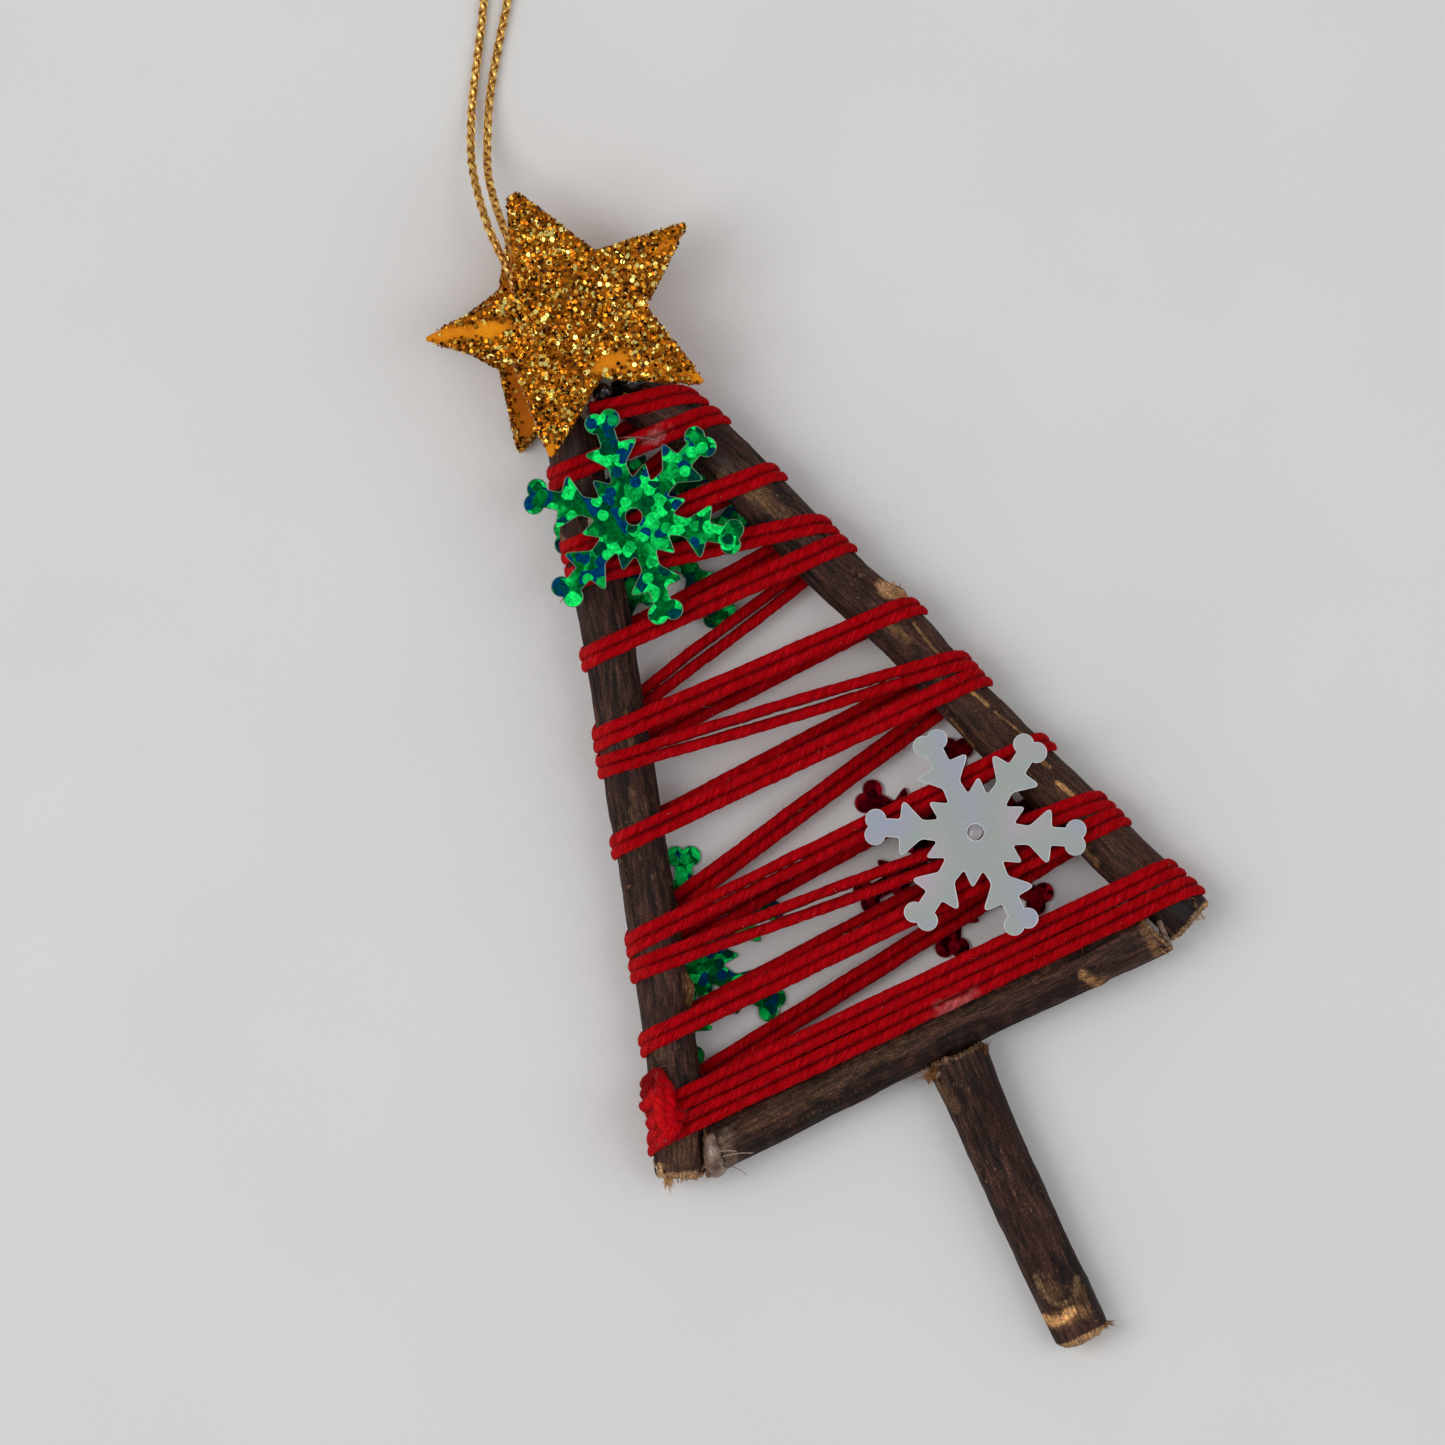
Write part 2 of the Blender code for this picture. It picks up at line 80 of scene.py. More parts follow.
FIRST_PASS_START = (-1.9, 37.5)
LEFT_CROSSINGS = (33.7, 27.25, 25.1, 17.7, 10.65, 8.45, 1.3, -7.35, -9.5, -16.0, -22.1, -24.3)
RIGHT_CROSSINGS = (34.2, 31.85, 24.9, 18.35, 16.3, 8.3, 1.7, -0.1, -8.0, -15.25, -17.2,
                   -23.6, -25.8)
YARN_END_Y = -26.2
KNOT_Y = -19.5
KNOT_OVER = ((-1.3, -0.5, 0.0), (-1.9, -1.7, 0.0), (-2.0, -3.2, 0.0))
KNOT_LUMPS = ((-0.1, 1.7, 25.0), (0.2, 0.8, 100.0), (-0.4, 0.3, 35.0), (0.3, -0.5, 150.0),
              (-0.2, -1.3, 60.0), (-0.5, -2.0, 15.0), (0.6, 0.2, 70.0))
FOAM_T = 2.0
FRONT_STAR_R = 13.0
FRONT_STAR_CENTRE = (0.95, 45.85)
FRONT_STAR_CORNERS = (((90.3, 0.965), (130.3, 0.474)), ((160.9, 1.06), (190.0, 0.555)),
                      ((232.7, 0.99), (266.0, 0.465)), ((306.3, 1.0), (342.0, 0.51)),
                      ((373.5, 1.0), (406.5, 0.5)))
BACK_STAR_R = 11.5
BACK_STAR_CENTRE = (-0.96, 45.9)
BACK_STAR_CORNERS = (((83.0, 1.0), (120.0, 0.56)), ((157.0, 0.92), (188.0, 0.57)),
                     ((226.0, 1.01), (262.0, 0.5)), ((298.0, 1.0), (334.0, 0.5)),
                     ((370.0, 1.0), (406.0, 0.5)))
SEQUIN_R = 10.15
SEQUIN_T = 0.25
SEQUIN_HOLE_D = 1.5
FRONT_SEQUINS = (("sequin_front_green", (-2.53, 27.4), 21.4, ()),
                 ("sequin_front_pearl", (12.1, -12.2), 30.0, ()))
BACK_SEQUINS = (("sequin_back_green_upper", (-0.64, 25.1), 36.5, ()),
                ("sequin_back_green_lower", (-16.56, -10.3), 4.0, (2, 3)),
                ("sequin_back_red", (9.8, -12.65), 2.0, ()))
CORD_TABLE_Z = 0.47
CORD_HELD_Z = 9.42
CORD_ROUTE = ((-3.55, 41.0, CORD_HELD_Z), (-3.5, 44.5, CORD_HELD_Z), (-3.1, 48.5, CORD_HELD_Z),
              (-2.55, 52.2, CORD_HELD_Z - 0.05), (-2.5, 54.6, 9.0), (-2.35, 57.0, 7.9),
              (-1.95, 59.4, 6.1), (-1.35, 61.9, 4.1), (-0.45, 64.2, 2.3), (1.45, 67.7, 0.85),
              (4.1, 71.7, CORD_TABLE_Z), (6.6, 75.5, CORD_TABLE_Z), (9.4, 80.4, CORD_TABLE_Z),
              (11.9, 86.2, CORD_TABLE_Z), (13.9, 92.4, CORD_TABLE_Z),
              (15.9, 98.6, CORD_TABLE_Z), (19.0, 104.2, CORD_TABLE_Z),
              (23.6, 106.8, CORD_TABLE_Z), (27.6, 104.6, CORD_TABLE_Z),
              (28.1, 99.4, CORD_TABLE_Z), (25.4, 94.2, CORD_TABLE_Z),
              (21.2, 89.2, CORD_TABLE_Z), (16.7, 84.2, CORD_TABLE_Z),
              (12.2, 79.2, CORD_TABLE_Z), (8.6, 74.6, CORD_TABLE_Z),
              (5.4, 70.6, CORD_TABLE_Z), (2.75, 66.9, 0.85), (0.75, 63.3, 2.3),
              (-0.2, 61.2, 4.1), (-0.75, 59.0, 6.1), (-1.1, 56.7, 7.9), (-1.3, 54.3, 9.0),
              (-1.4, 51.6, CORD_HELD_Z - 0.05), (-1.65, 48.0, CORD_HELD_Z),
              (-1.9, 44.6, CORD_HELD_Z), (-2.15, 41.3, CORD_HELD_Z))

LEG_R = max(LEFT_LEG_D, RIGHT_LEG_D) / 2
APEX_Y = 34.5
BASE_Y = -25.0
APEX_Z = FOAM_T + GAP + STRAND_D + GAP + LEG_R
BASE_Z = 0.5 + STRAND_D + GAP + LEG_R

# The pearl sequin is symmetrical, so the middle of its box is its centre in the tree's frame
SEQUIN_BOX = np.array([list(corner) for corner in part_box("sequin_front_pearl")])
SHIFT = SEQUIN_BOX.mean(axis=0) * (1, 1, 0) - np.array((*FRONT_SEQUINS[1][1], 0.0)) * MM


# ---- numbers -------------------------------------------------------------------------------

def paint(red, green, blue):
    """Linear colour of an sRGB one: ((c / 255 + 0.055) / 1.055) to the power 2.4."""
    share = np.array((red, green, blue)) / 255
    return np.where(share > 0.04, ((share + 0.055) / 1.055) ** 2.4, share / 12.92)


def unit(vectors):
    """Rows scaled to length one."""
    return vectors / np.linalg.norm(vectors, axis=-1, keepdims=True)


def tangents(points):
    """The direction of a path at each of its points, from the points on either side."""
    return unit(np.gradient(points, axis=0))


def ease(low, high, values):
    """0 below low, 1 above high, and 3t^2 - 2t^3 between."""
    t = np.clip((values - low) / (high - low), 0.0, 1.0)
    return t * t * (3 - 2 * t)


def blend(first, second, share):
    """Colours mixed point by point: first x (1 - share) + second x share."""
    share = np.asarray(share)[..., None]
    return first * (1 - share) + second * share


def run_of(points):
    """Distance along a path at each of its points."""
    return np.concatenate([[0.0], np.cumsum(np.linalg.norm(np.diff(points, axis=0), axis=1))])


def resampled(points, run, at):
    """Points of a path read off at given distances along it."""
    return np.column_stack([np.interp(at, run, column) for column in points.T])


def upright(along):
    """Across and up for each direction of a path: across is level, and up square to both."""
    across = unit(np.cross(along, (0.0, 0.0, 1.0)))
    return across, np.cross(across, along)


def circle(across, up, turn):
    """Rings of directions: cos(turn) x across + sin(turn) x up, for each across and up."""
    return (np.cos(turn)[:, None] * across[..., None, :]
            + np.sin(turn)[:, None] * up[..., None, :])


def outline_normals(outline):
    """Outward normals of a closed outline, square to the line between a point's neighbours."""
    edge = np.roll(outline, -1, axis=0) - np.roll(outline, 1, axis=0)
    return unit(np.column_stack([edge[:, 1], -edge[:, 0]]))


def smooth_route(points, count):
    """Evenly spaced points on the Catmull-Rom curve through the given ones."""
    knots = np.array(points, dtype=float)
    knots = np.vstack([2 * knots[0] - knots[1], knots, 2 * knots[-1] - knots[-2]])
    t = np.linspace(0.0, 1.0, 24, endpoint=False)[None, :, None]
    a, b, c, d = (knots[i:len(knots) - 3 + i, None] for i in range(4))
    dense = 0.5 * (2 * b + (c - a) * t + (2 * a - 5 * b + 4 * c - d) * t ** 2
                   + (3 * b - a - 3 * c + d) * t ** 3)
    dense = np.vstack([dense.reshape(-1, knots.shape[1]), knots[-2:-1]])
    run = run_of(dense)
    return resampled(dense, run, np.linspace(0.0, run[-1], count))


def noise(u, v, cells_u, cells_v, seed):
    """Value noise from -1 to 1: random numbers on a lattice, eased between its points.

    It repeats after one turn of u, so there is no seam round a twig or a strand.
    """
    cells_u = max(3, int(round(cells_u)))
    cells_v = max(1, int(round(cells_v)))
    table = np.random.default_rng(seed).uniform(-1.0, 1.0, (cells_v + 2, cells_u))
    x = (u % 1.0) * cells_u
    y = np.clip(v, 0.0, 1.0) * cells_v
    i, j = np.floor(x).astype(int), np.floor(y).astype(int)
    fx, fy = ease(0.0, 1.0, x - i), ease(0.0, 1.0, y - j)
    i0, i1 = i % cells_u, (i + 1) % cells_u
    return ((table[j, i0] * (1 - fx) + table[j, i1] * fx) * (1 - fy)
            + (table[j + 1, i0] * (1 - fx) + table[j + 1, i1] * fx) * fy)


def rough_noise(u, v, cells_u, cells_v, seed, octaves=3):
    """Sum of noises, each twice as fine and half as strong as the one before."""
    total = sum(noise(u, v, cells_u * 2 ** k, cells_v * 2 ** k, seed + 31 * k) / 2 ** k
                for k in range(octaves))
    return total / (2 - 2 ** (1 - octaves))


def inside(points, outline):
    """Even-odd test of points against a closed outline: edges crossed by a ray along x."""
    x, y = points[:, 0, None], points[:, 1, None]
    x0, y0 = outline[:, 0], outline[:, 1]
    x1, y1 = np.roll(x0, -1), np.roll(y0, -1)
    crosses = (y0 > y) != (y1 > y)
    rise = np.where(y1 == y0, 1e-9, y1 - y0)
    return (crosses & (x < (x1 - x0) * (y - y0) / rise + x0)).sum(axis=1) % 2 == 1


def twig_height(y):
    """Height of the twigs' centre lines, which slope from the stars to the lowest yarn."""
    return BASE_Z + (APEX_Z - BASE_Z) * (y - BASE_Y) / (APEX_Y - BASE_Y)


def front_height(y):
    """Height of the CAD yarn's front face at a place along the tree."""
    return twig_height(y) + LEG_R + GAP + STRAND_D


def back_height(y):
    """Height of the CAD yarn's back face at a place along the tree."""
    return twig_height(y) - LEG_R - GAP - STRAND_D


def sequin_height(centre, in_front):
    """Height of a sequin's lower face: on the yarn in front, under it behind."""
    if in_front:
        return front_height(centre[1] + SEQUIN_R) + GAP
    return max(back_height(centre[1] - SEQUIN_R) - GAP - SEQUIN_T, 0.0)


# ---- settings ------------------------------------------------------------------------------

def colour_setting(name, description, colour):
    """A colour that a user may change, with its linear default."""
    return FloatVectorProperty(name=name, description=description, subtype="COLOR",
                               default=tuple(colour))


def length_setting(name, description, millimetres):
    """A length that a user may change, with its default in millimetres."""
    return FloatProperty(name=name, description=description, default=millimetres * MM,
                         unit="LENGTH", precision=5)


# ---- meshes --------------------------------------------------------------------------------

def grid_faces(rows, columns):
    """Quads of a grid that is closed round its columns."""
    i, j = np.meshgrid(np.arange(rows - 1), np.arange(columns), indexing="ij")
    k = (j + 1) % columns
    quads = np.stack([i * columns + j, i * columns + k, (i + 1) * columns + k,
                      (i + 1) * columns + j], axis=-1)
    return quads.reshape(-1, 4)


def shell(rings):
    """A closed surface from rings (rows, columns, 3), with a fan to the middle of each end."""
    rows, columns = rings.shape[:2]
    points = np.vstack([rings.reshape(-1, 3), rings[0].mean(axis=0), rings[-1].mean(axis=0)])
    j = np.arange(columns)
    k = (j + 1) % columns
    last = (rows - 1) * columns
    start = np.column_stack([k, j, np.full(columns, rows * columns)])
    end = np.column_stack([last + j, last + k, np.full(columns, rows * columns + 1)])
    return points, [grid_faces(rows, columns), start, end]


def poles(values):
    """Values of a shell's rings, followed by the mean of each end ring for its two poles."""
    flat = values.reshape(-1, values.shape[-1])
    return np.vstack([flat, values[0].mean(axis=0), values[-1].mean(axis=0)])


def bundle(paths, radii, sides):
    """Many thin tubes: paths (count, steps, 3) with radii (count, steps), closed at the ends."""
    count, steps = paths.shape[:2]
    along = unit(np.gradient(paths, axis=1))
    start = np.where(np.abs(along[:, :1, 2:]) < 0.9, [[[0.0, 0.0, 1.0]]], [[[1.0, 0.0, 0.0]]])
    across = unit(np.cross(along, np.broadcast_to(start, along.shape)))
    up = np.cross(across, along)
    turn = np.arange(sides) * 2 * math.pi / sides
    rings = paths[:, :, None] + radii[..., None, None] * circle(across, up, turn)
    base = (np.arange(count) * steps * sides)[:, None, None]
    quads = (grid_faces(steps, sides)[None] + base).reshape(-1, 4)
    cap = np.arange(sides)
    caps = np.vstack([(cap[::-1] + base[:, 0]), (cap + (steps - 1) * sides + base[:, 0])])
    return rings.reshape(-1, 3), [quads, caps]


def join(parts):
    """Several (points, faces) put together as one mesh's worth."""
    points, faces, start = [], [], 0
    for some, sets in parts:
        points.append(some)
        faces += [face + start for face in sets]
        start += len(some)
    return np.vstack(points), faces


def outward(points, faces):
    """The faces turned over if the volume inside them, a sum of tetrahedra, is negative."""
    volume = 0.0
    for face in faces:
        a = points[face[:, 0]]
        for i in range(1, face.shape[1] - 1):
            b, c = points[face[:, i]], points[face[:, i + 1]]
            volume += np.einsum("ij,ij->", a, np.cross(b, c))
    return faces if volume > 0 else [face[:, ::-1] for face in faces]


def piece(name, points, faces, finishes, slot, nodes=(), tint=None, grain=None, smooth=True,
          sharp=None, picks=None):
    """Fill a mesh from points in millimetres and lists of faces, and put it on the frame."""
    faces = outward(points, faces)
    mesh = bpy.data.meshes.new(name)
    mesh.vertices.add(len(points))
    mesh.vertices.foreach_set("co", (points * MM + SHIFT).ravel())
    sizes = np.concatenate([np.full(len(face), face.shape[1]) for face in faces])
    loops = np.concatenate([face.ravel() for face in faces])
    mesh.loops.add(len(loops))
    mesh.loops.foreach_set("vertex_index", loops)
    mesh.polygons.add(len(sizes))
    mesh.polygons.foreach_set("loop_start", np.concatenate([[0], np.cumsum(sizes)[:-1]]))
    if picks is not None:
        mesh.polygons.foreach_set("material_index", picks)
    mesh.update(calc_edges=True)
    if tint is not None:
        if tint.shape[1] == 3:
            tint = np.column_stack([tint, np.ones(len(tint))])
        mesh.attributes.new("tint", "FLOAT_COLOR", "POINT").data.foreach_set(
            "color", tint.ravel())
    if grain is not None:
        mesh.attributes.new("grain", "FLOAT_VECTOR", "POINT").data.foreach_set(
            "vector", grain.ravel())
    for finish in finishes:
        mesh.materials.append(finish)
    if smooth:
        mesh.shade_smooth()
        if sharp:
            mesh.set_sharp_from_angle(angle=math.radians(sharp))
    else:
        mesh.shade_flat()
    thing = bpy.data.objects.new(name, mesh)
    bpy.context.scene.collection.objects.link(thing)
    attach(thing, "root")
    if nodes:
        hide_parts(*nodes)
    return thing


# ---- materials -----------------------------------------------------------------------------

class Finish:
    """A Principled material, with short ways to add and join its nodes."""

    def __init__(self, name, **sockets):
        self.material = bpy.data.materials.new(name)
        self.material.use_nodes = True
        self.tree = self.material.node_tree
        self.shader = self.tree.nodes["Principled BSDF"]
        for socket, value in sockets.items():
            self.shader.inputs[socket.replace("_", " ")].default_value = value

    def node(self, kind, sockets=(), **settings):
        """A new node with its settings, and its sockets filled or joined."""
        made = self.tree.nodes.new("ShaderNode" + kind)
        for key, value in settings.items():
            setattr(made, key, value)
        for socket, value in dict(sockets).items():
            if isinstance(value, bpy.types.NodeSocket):
                self.tree.links.new(value, made.inputs[socket])
            else:
                made.inputs[socket].default_value = value
        return made

    def join(self, output, socket):
        """Join an output to a socket of the shader."""
        self.tree.links.new(output, self.shader.inputs[socket])

    def attribute(self, name):
        """A mesh attribute's node."""
        return self.node("Attribute", attribute_name=name)

    def place(self):
        """Where on the object a point is."""
        return self.node("TexCoord").outputs["Object"]

    def stretched(self, source, scale, shift=(0.0, 0.0, 0.0)):
        """Coordinates scaled along each axis."""
        return self.node("Mapping", {"Vector": source, "Scale": scale, "Location": shift}
                         ).outputs["Vector"]

    def speckle(self, vector, scale, detail=2.0, roughness=0.55, distortion=0.0):
        """Noise texture from 0 to 1."""
        return self.node("TexNoise", {"Vector": vector, "Scale": scale, "Detail": detail,
                                      "Roughness": roughness, "Distortion": distortion}
                         ).outputs["Fac"]

    def ramp(self, value, *stops):
        """Colour ramp through (place, colour) stops."""
        made = self.node("ValToRGB", {"Fac": value})
        while len(made.color_ramp.elements) < len(stops):
            made.color_ramp.elements.new(0.5)
        for element, (place, colour) in zip(made.color_ramp.elements, stops):
            element.position = place
            element.color = (*colour, 1.0)
        return made.outputs["Color"]

    def spread(self, value, low, high, first=0.0, last=1.0):
        """Value mapped from low..high to first..last, and held there."""
        return self.node("MapRange", {"Value": value, "From Min": low, "From Max": high,
                                      "To Min": first, "To Max": last}).outputs["Result"]

    def mix(self, share, first, second, way="MIX"):
        """Two colours mixed."""
        made = self.node("Mix", data_type="RGBA", blend_type=way)
        for socket, value in ((0, share), (6, first), (7, second)):
            if isinstance(value, bpy.types.NodeSocket):
                self.tree.links.new(value, made.inputs[socket])
            else:
                made.inputs[socket].default_value = rgba(value) if socket else value
        return made.outputs[2]

    def bump(self, height, depth_mm, strength=1.0):
        """Fine relief of a depth in millimetres."""
        made = self.node("Bump", {"Height": height, "Distance": depth_mm * MM,
                                  "Strength": strength})
        self.join(made.outputs["Normal"], "Normal")
        return made


def rgba(colour):
    """Four numbers for a colour socket."""
    return (*colour[:3], 1.0)


def bark_finish():
    """Bark: the mesh's own colour, broken by fine dark and light grain along the twig."""
    made = Finish("bark", Specular_IOR_Level=0.2)
    tint = made.attribute("tint")
    grain = made.attribute("grain").outputs["Vector"]
    fine = made.speckle(made.stretched(grain, (1.0, 1.0, 0.08)), 6.0, 3.0, 0.7)
    grit = made.speckle(grain, 6.5, 2.0, 0.7)
    dust = made.speckle(made.stretched(grain, (1.0, 1.0, 0.45)), 11.0, 2.0, 0.6)
    shade = made.ramp(fine, (0.36, (0.5, 0.48, 0.47)), (0.5, (0.92, 0.9, 0.88)),
                      (0.64, (1.55, 1.45, 1.35)))
    colour = made.mix(1.0, tint.outputs["Color"], shade, "MULTIPLY")
    shade = made.ramp(grit, (0.36, (0.5, 0.5, 0.5)), (0.5, (0.92, 0.92, 0.92)),
                      (0.64, (1.75, 1.65, 1.55)))
    colour = made.mix(1.0, colour, shade, "MULTIPLY")
    colour = made.mix(made.spread(dust, 0.68, 0.76, 0.0, 0.4), colour,
                      paint(134, 110, 88))
    made.join(colour, "Base Color")
    made.join(tint.outputs["Alpha"], "Roughness")
    made.bump(fine, 0.05, 0.8)
    return made.material


def yarn_finish():
    """Acrylic yarn: soft crimson, with fibres that run along each ply and pale pink painted
    highlights on the brightest of them.
    """
    made = Finish("yarn", Roughness=0.85, Sheen_Weight=0.12, Sheen_Roughness=0.45,
                  Sheen_Tint=(1.0, 0.1, 0.1, 1.0), Specular_IOR_Level=0.03)
    tint = made.attribute("tint")
    grain = made.attribute("grain").outputs["Vector"]
    fibre = made.speckle(made.stretched(grain, (1.0, 1.0, 0.12)), 9.0, 2.0, 0.6)
    fluff = made.speckle(made.stretched(grain, (1.0, 1.0, 0.5)), 3.2, 3.0, 0.7)
    shade = made.ramp(fibre, (0.3, (0.5, 0.42, 0.42)), (0.52, (1.0, 1.0, 1.0)),
                      (0.7, (1.3, 1.5, 1.5)))
    colour = made.mix(1.0, tint.outputs["Color"], shade, "MULTIPLY")
    colour = made.mix(made.spread(fluff, 0.35, 0.6, 0.45, 0.0), colour, paint(84, 0, 6))
    # Painted highlight: the brightest fibres are mixed towards pale pink.
    colour = made.mix(made.spread(fibre, 0.56, 0.72, 0.0, 0.3), colour,
                      paint(208, 48, 56))
    made.join(colour, "Base Color")
    made.bump(fibre, 0.06, 0.9)
    return made.material


def fibre_finish(name, roughness=0.8):
    """Loose fibres and splinters: the mesh's own colour."""
    made = Finish(name, Roughness=roughness, Specular_IOR_Level=0.25)
    made.join(made.attribute("tint").outputs["Color"], "Base Color")
    return made.material


def foam_finish():
    """Craft foam: orange, a little mottled, with glue soaked in darker in places."""
    made = Finish("foam", Roughness=0.8, Specular_IOR_Level=0.15)
    place = made.place()
    tint = made.attribute("tint").outputs["Color"]
    broad = made.speckle(place, 260.0, 3.0, 0.6)
    cells = made.speckle(place, 3800.0, 2.0, 0.6)
    colour = made.mix(made.spread(broad, 0.35, 0.7), tint, paint(214, 122, 14))
    colour = made.mix(made.spread(cells, 0.5, 0.75, 0.0, 0.35), colour, paint(150, 70, 6))
    made.join(colour, "Base Color")
    made.bump(cells, 0.03, 0.7)
    return made.material


def glitter_finish():
    """Glitter flakes: thin metal discs, each of the colour that its mesh carries."""
    made = Finish("glitter", Roughness=0.22)
    tint = made.attribute("tint")
    made.join(tint.outputs["Color"], "Base Color")
    made.join(tint.outputs["Alpha"], "Metallic")
    return made.material


def hologram_finish(name, stops, cell):
    """Holographic sequin film: layers of overlapping spots, each of its own shade, and a fine
    mosaic of cells painted brighter and darker as sparkle.
    """
    made = Finish(name, Metallic=1.0, Roughness=0.3)
    place = made.place()
    flat = made.stretched(place, (1.0, 1.0, 0.0))
    broad = made.speckle(flat, 520.0, 2.0, 0.5)
    colour = made.ramp(broad, *stops)
    for k, (size, wide) in enumerate(((1.0, 0.62), (1.12, 0.42), (0.9, 0.4))):
        vector = made.stretched(place, (1.0, 1.0, 0.0), (0.0013 * k, 0.0007 * k, 0.0))
        spots = made.node("TexVoronoi", {"Vector": vector, "Scale": 1000.0 / (cell * size)},
                          voronoi_dimensions="2D")
        shade = made.node("SeparateColor", {"Color": spots.outputs["Color"]})
        disc = made.spread(spots.outputs["Distance"], wide, wide + 0.05, 1.0, 0.0)
        pick = made.node("Math", {0: disc, 1: made.spread(shade.outputs["Green"], 0.45, 0.5)},
                         operation="MULTIPLY").outputs["Value"]
        colour = made.mix(pick, colour, made.ramp(shade.outputs["Red"], *stops))
    # Painted glints: tiny cells made brighter and darker at random stand in for the film's sparkle.
    crackle = made.node("TexVoronoi", {"Vector": flat, "Scale": 4200.0},
                        voronoi_dimensions="2D").outputs["Color"]
    painted_sparkle = made.node("SeparateColor", {"Color": crackle}).outputs["Blue"]
    shade = made.ramp(painted_sparkle, (0.0, (0.62, 0.62, 0.62)), (0.6, (1.0, 1.0, 1.0)),
                      (1.0, (1.45, 1.4, 1.35)))
    made.join(made.mix(1.0, colour, shade, "MULTIPLY"), "Base Color")
    made.bump(broad, 0.02, 0.4)
    return made.material


def pearl_finish(base):
    """Pearl film: flat lavender grey that drifts to a bluish, a greenish and a pinkish cast."""
    made = Finish("sequin_pearl", Metallic=0.35, Roughness=0.38, Coat_Weight=0.3,
                  Coat_Roughness=0.2)
    place = made.place()
    broad = made.speckle(place, 90.0, 1.0, 0.5)
    colour = made.ramp(broad, (0.3, paint(132, 156, 172)), (0.48, tuple(base)),
                       (0.6, paint(152, 160, 156)), (0.72, paint(172, 158, 172)))
    flat = made.stretched(place, (1.0, 1.0, 0.0))
    specks = made.node("TexVoronoi", {"Vector": flat, "Scale": 3600.0},
                       voronoi_dimensions="2D").outputs["Color"]
    shade = made.mix(0.07, (1.0, 1.0, 1.0), specks)
    made.join(made.mix(1.0, colour, shade, "MULTIPLY"), "Base Color")
    return made.material


def rim_finish(name, colour):
    """The cut edge of a sequin, pale where the clear film shows."""
    made = Finish(name, Roughness=0.3, Specular_IOR_Level=0.6)
    place = made.place()
    shade = made.speckle(place, 900.0, 2.0, 0.5)
    made.join(made.mix(made.spread(shade, 0.35, 0.65), colour, colour * 0.7), "Base Color")
    return made.material


def cord_finish():
    """Metallic cord thread over a brown core."""
    made = Finish("cord_gold", Roughness=0.24, Metallic=0.8)
    tint = made.attribute("tint")
    grain = made.attribute("grain").outputs["Vector"]
    streak = made.speckle(made.stretched(grain, (1.0, 1.0, 0.2)), 12.0, 2.0, 0.6)
    shade = made.ramp(streak, (0.35, (0.8, 0.62, 0.45)), (0.6, (1.15, 1.1, 1.0)))
    made.join(made.mix(1.0, tint.outputs["Color"], shade, "MULTIPLY"), "Base Color")
    made.join(tint.outputs["Alpha"], "Metallic")
    made.bump(streak, 0.01, 0.5)
    return made.material


def glue_finish():
    """Hot glue: cloudy and glossy."""
    made = Finish("hot_glue", Roughness=0.22, IOR=1.48, Transmission_Weight=0.3,
                  Specular_IOR_Level=0.5)
    place = made.place()
    cloud = made.speckle(place, 900.0, 2.0, 0.5)
    made.join(made.mix(made.spread(cloud, 0.35, 0.7), paint(176, 150, 134),
                       paint(104, 76, 60)), "Base Color")
    made.bump(cloud, 0.05, 0.4)
    return made.material


def paper_finish(base):
    """The table: pale paper with a very faint tooth."""
    made = Finish("paper", Roughness=0.85, Specular_IOR_Level=0.2)
    place = made.place()
    tooth = made.speckle(made.stretched(place, (0.6, 1.0, 1.0)), 1300.0, 3.0, 0.6)
    broad = made.speckle(place, 40.0, 2.0, 0.5)
    made.join(made.mix(made.spread(broad, 0.3, 0.7), base, np.array(base) * 0.97), "Base Color")
    made.bump(tooth, 0.12, 0.6)
    return made.material


# ---- centre lines --------------------------------------------------------------------------

LEG_LEAN = 1.12  # a leg's width along x over its diameter


def leg_line(route):
    """The centre line of a leg at its height over the table."""
    flat = smooth_route(route, 240)
    return np.column_stack([flat, twig_height(flat[:, 1])])


def crossbar_line(left_line, right_line):
    """The crossbar's centre line: a shallow arch, kept between the insides of the legs.

    y = Y + slope x + bow (1 - t^2), and t runs from -1 to 1 between the legs' feet.
    """
    x = np.linspace(left_line[:, 0].min(), right_line[:, 0].max(), 400)
    middle = (x[0] + x[-1]) / 2
    t = (x - middle) / (x[-1] - middle)
    y = CROSSBAR_Y + CROSSBAR_SLOPE * x + CROSSBAR_BOW * (1 - t ** 2)
    left_x = np.interp(y, left_line[:, 1], left_line[:, 0])
    right_x = np.interp(y, right_line[:, 1], right_line[:, 0])
    keep = ((x > left_x + (LEFT_LEG_D / 2 + GAP) * LEG_LEAN)
            & (x < right_x - (RIGHT_LEG_D / 2 + GAP) * LEG_LEAN))
    return np.column_stack([x, y, twig_height(y)])[keep]


def trunk_line(crossbar):
    """The trunk's centre line, from under the crossbar down to the table."""
    top_y = np.interp(TRUNK_X, crossbar[:, 0], crossbar[:, 1]) - CROSSBAR_D / 2 * 1.05 - GAP
    run = np.linspace(0.0, TRUNK_LENGTH, 12)
    top_z = twig_height(top_y)
    bow = TRUNK_BOW * np.sin(run / TRUNK_LENGTH * math.pi)
    return np.column_stack([TRUNK_X + TRUNK_LEAN * run + bow, top_y - run,
                            top_z - (top_z - TRUNK_D / 2) * run / TRUNK_LENGTH])


LEFT_LINE = leg_line(LEFT_LEG_ROUTE)
RIGHT_LINE = leg_line(RIGHT_LEG_ROUTE)
CROSSBAR_LINE = crossbar_line(LEFT_LINE, RIGHT_LINE)
TRUNK_LINE = trunk_line(CROSSBAR_LINE)


# ---- cord ----------------------------------------------------------------------------------

THREAD_R = 0.27
THREAD_WEAVE = 0.07
THREAD_HALF_WIDTH = 0.19
THREAD_HALF_DEPTH = 0.08
THREAD_ROUNDS = np.arange(8) * math.pi / 4


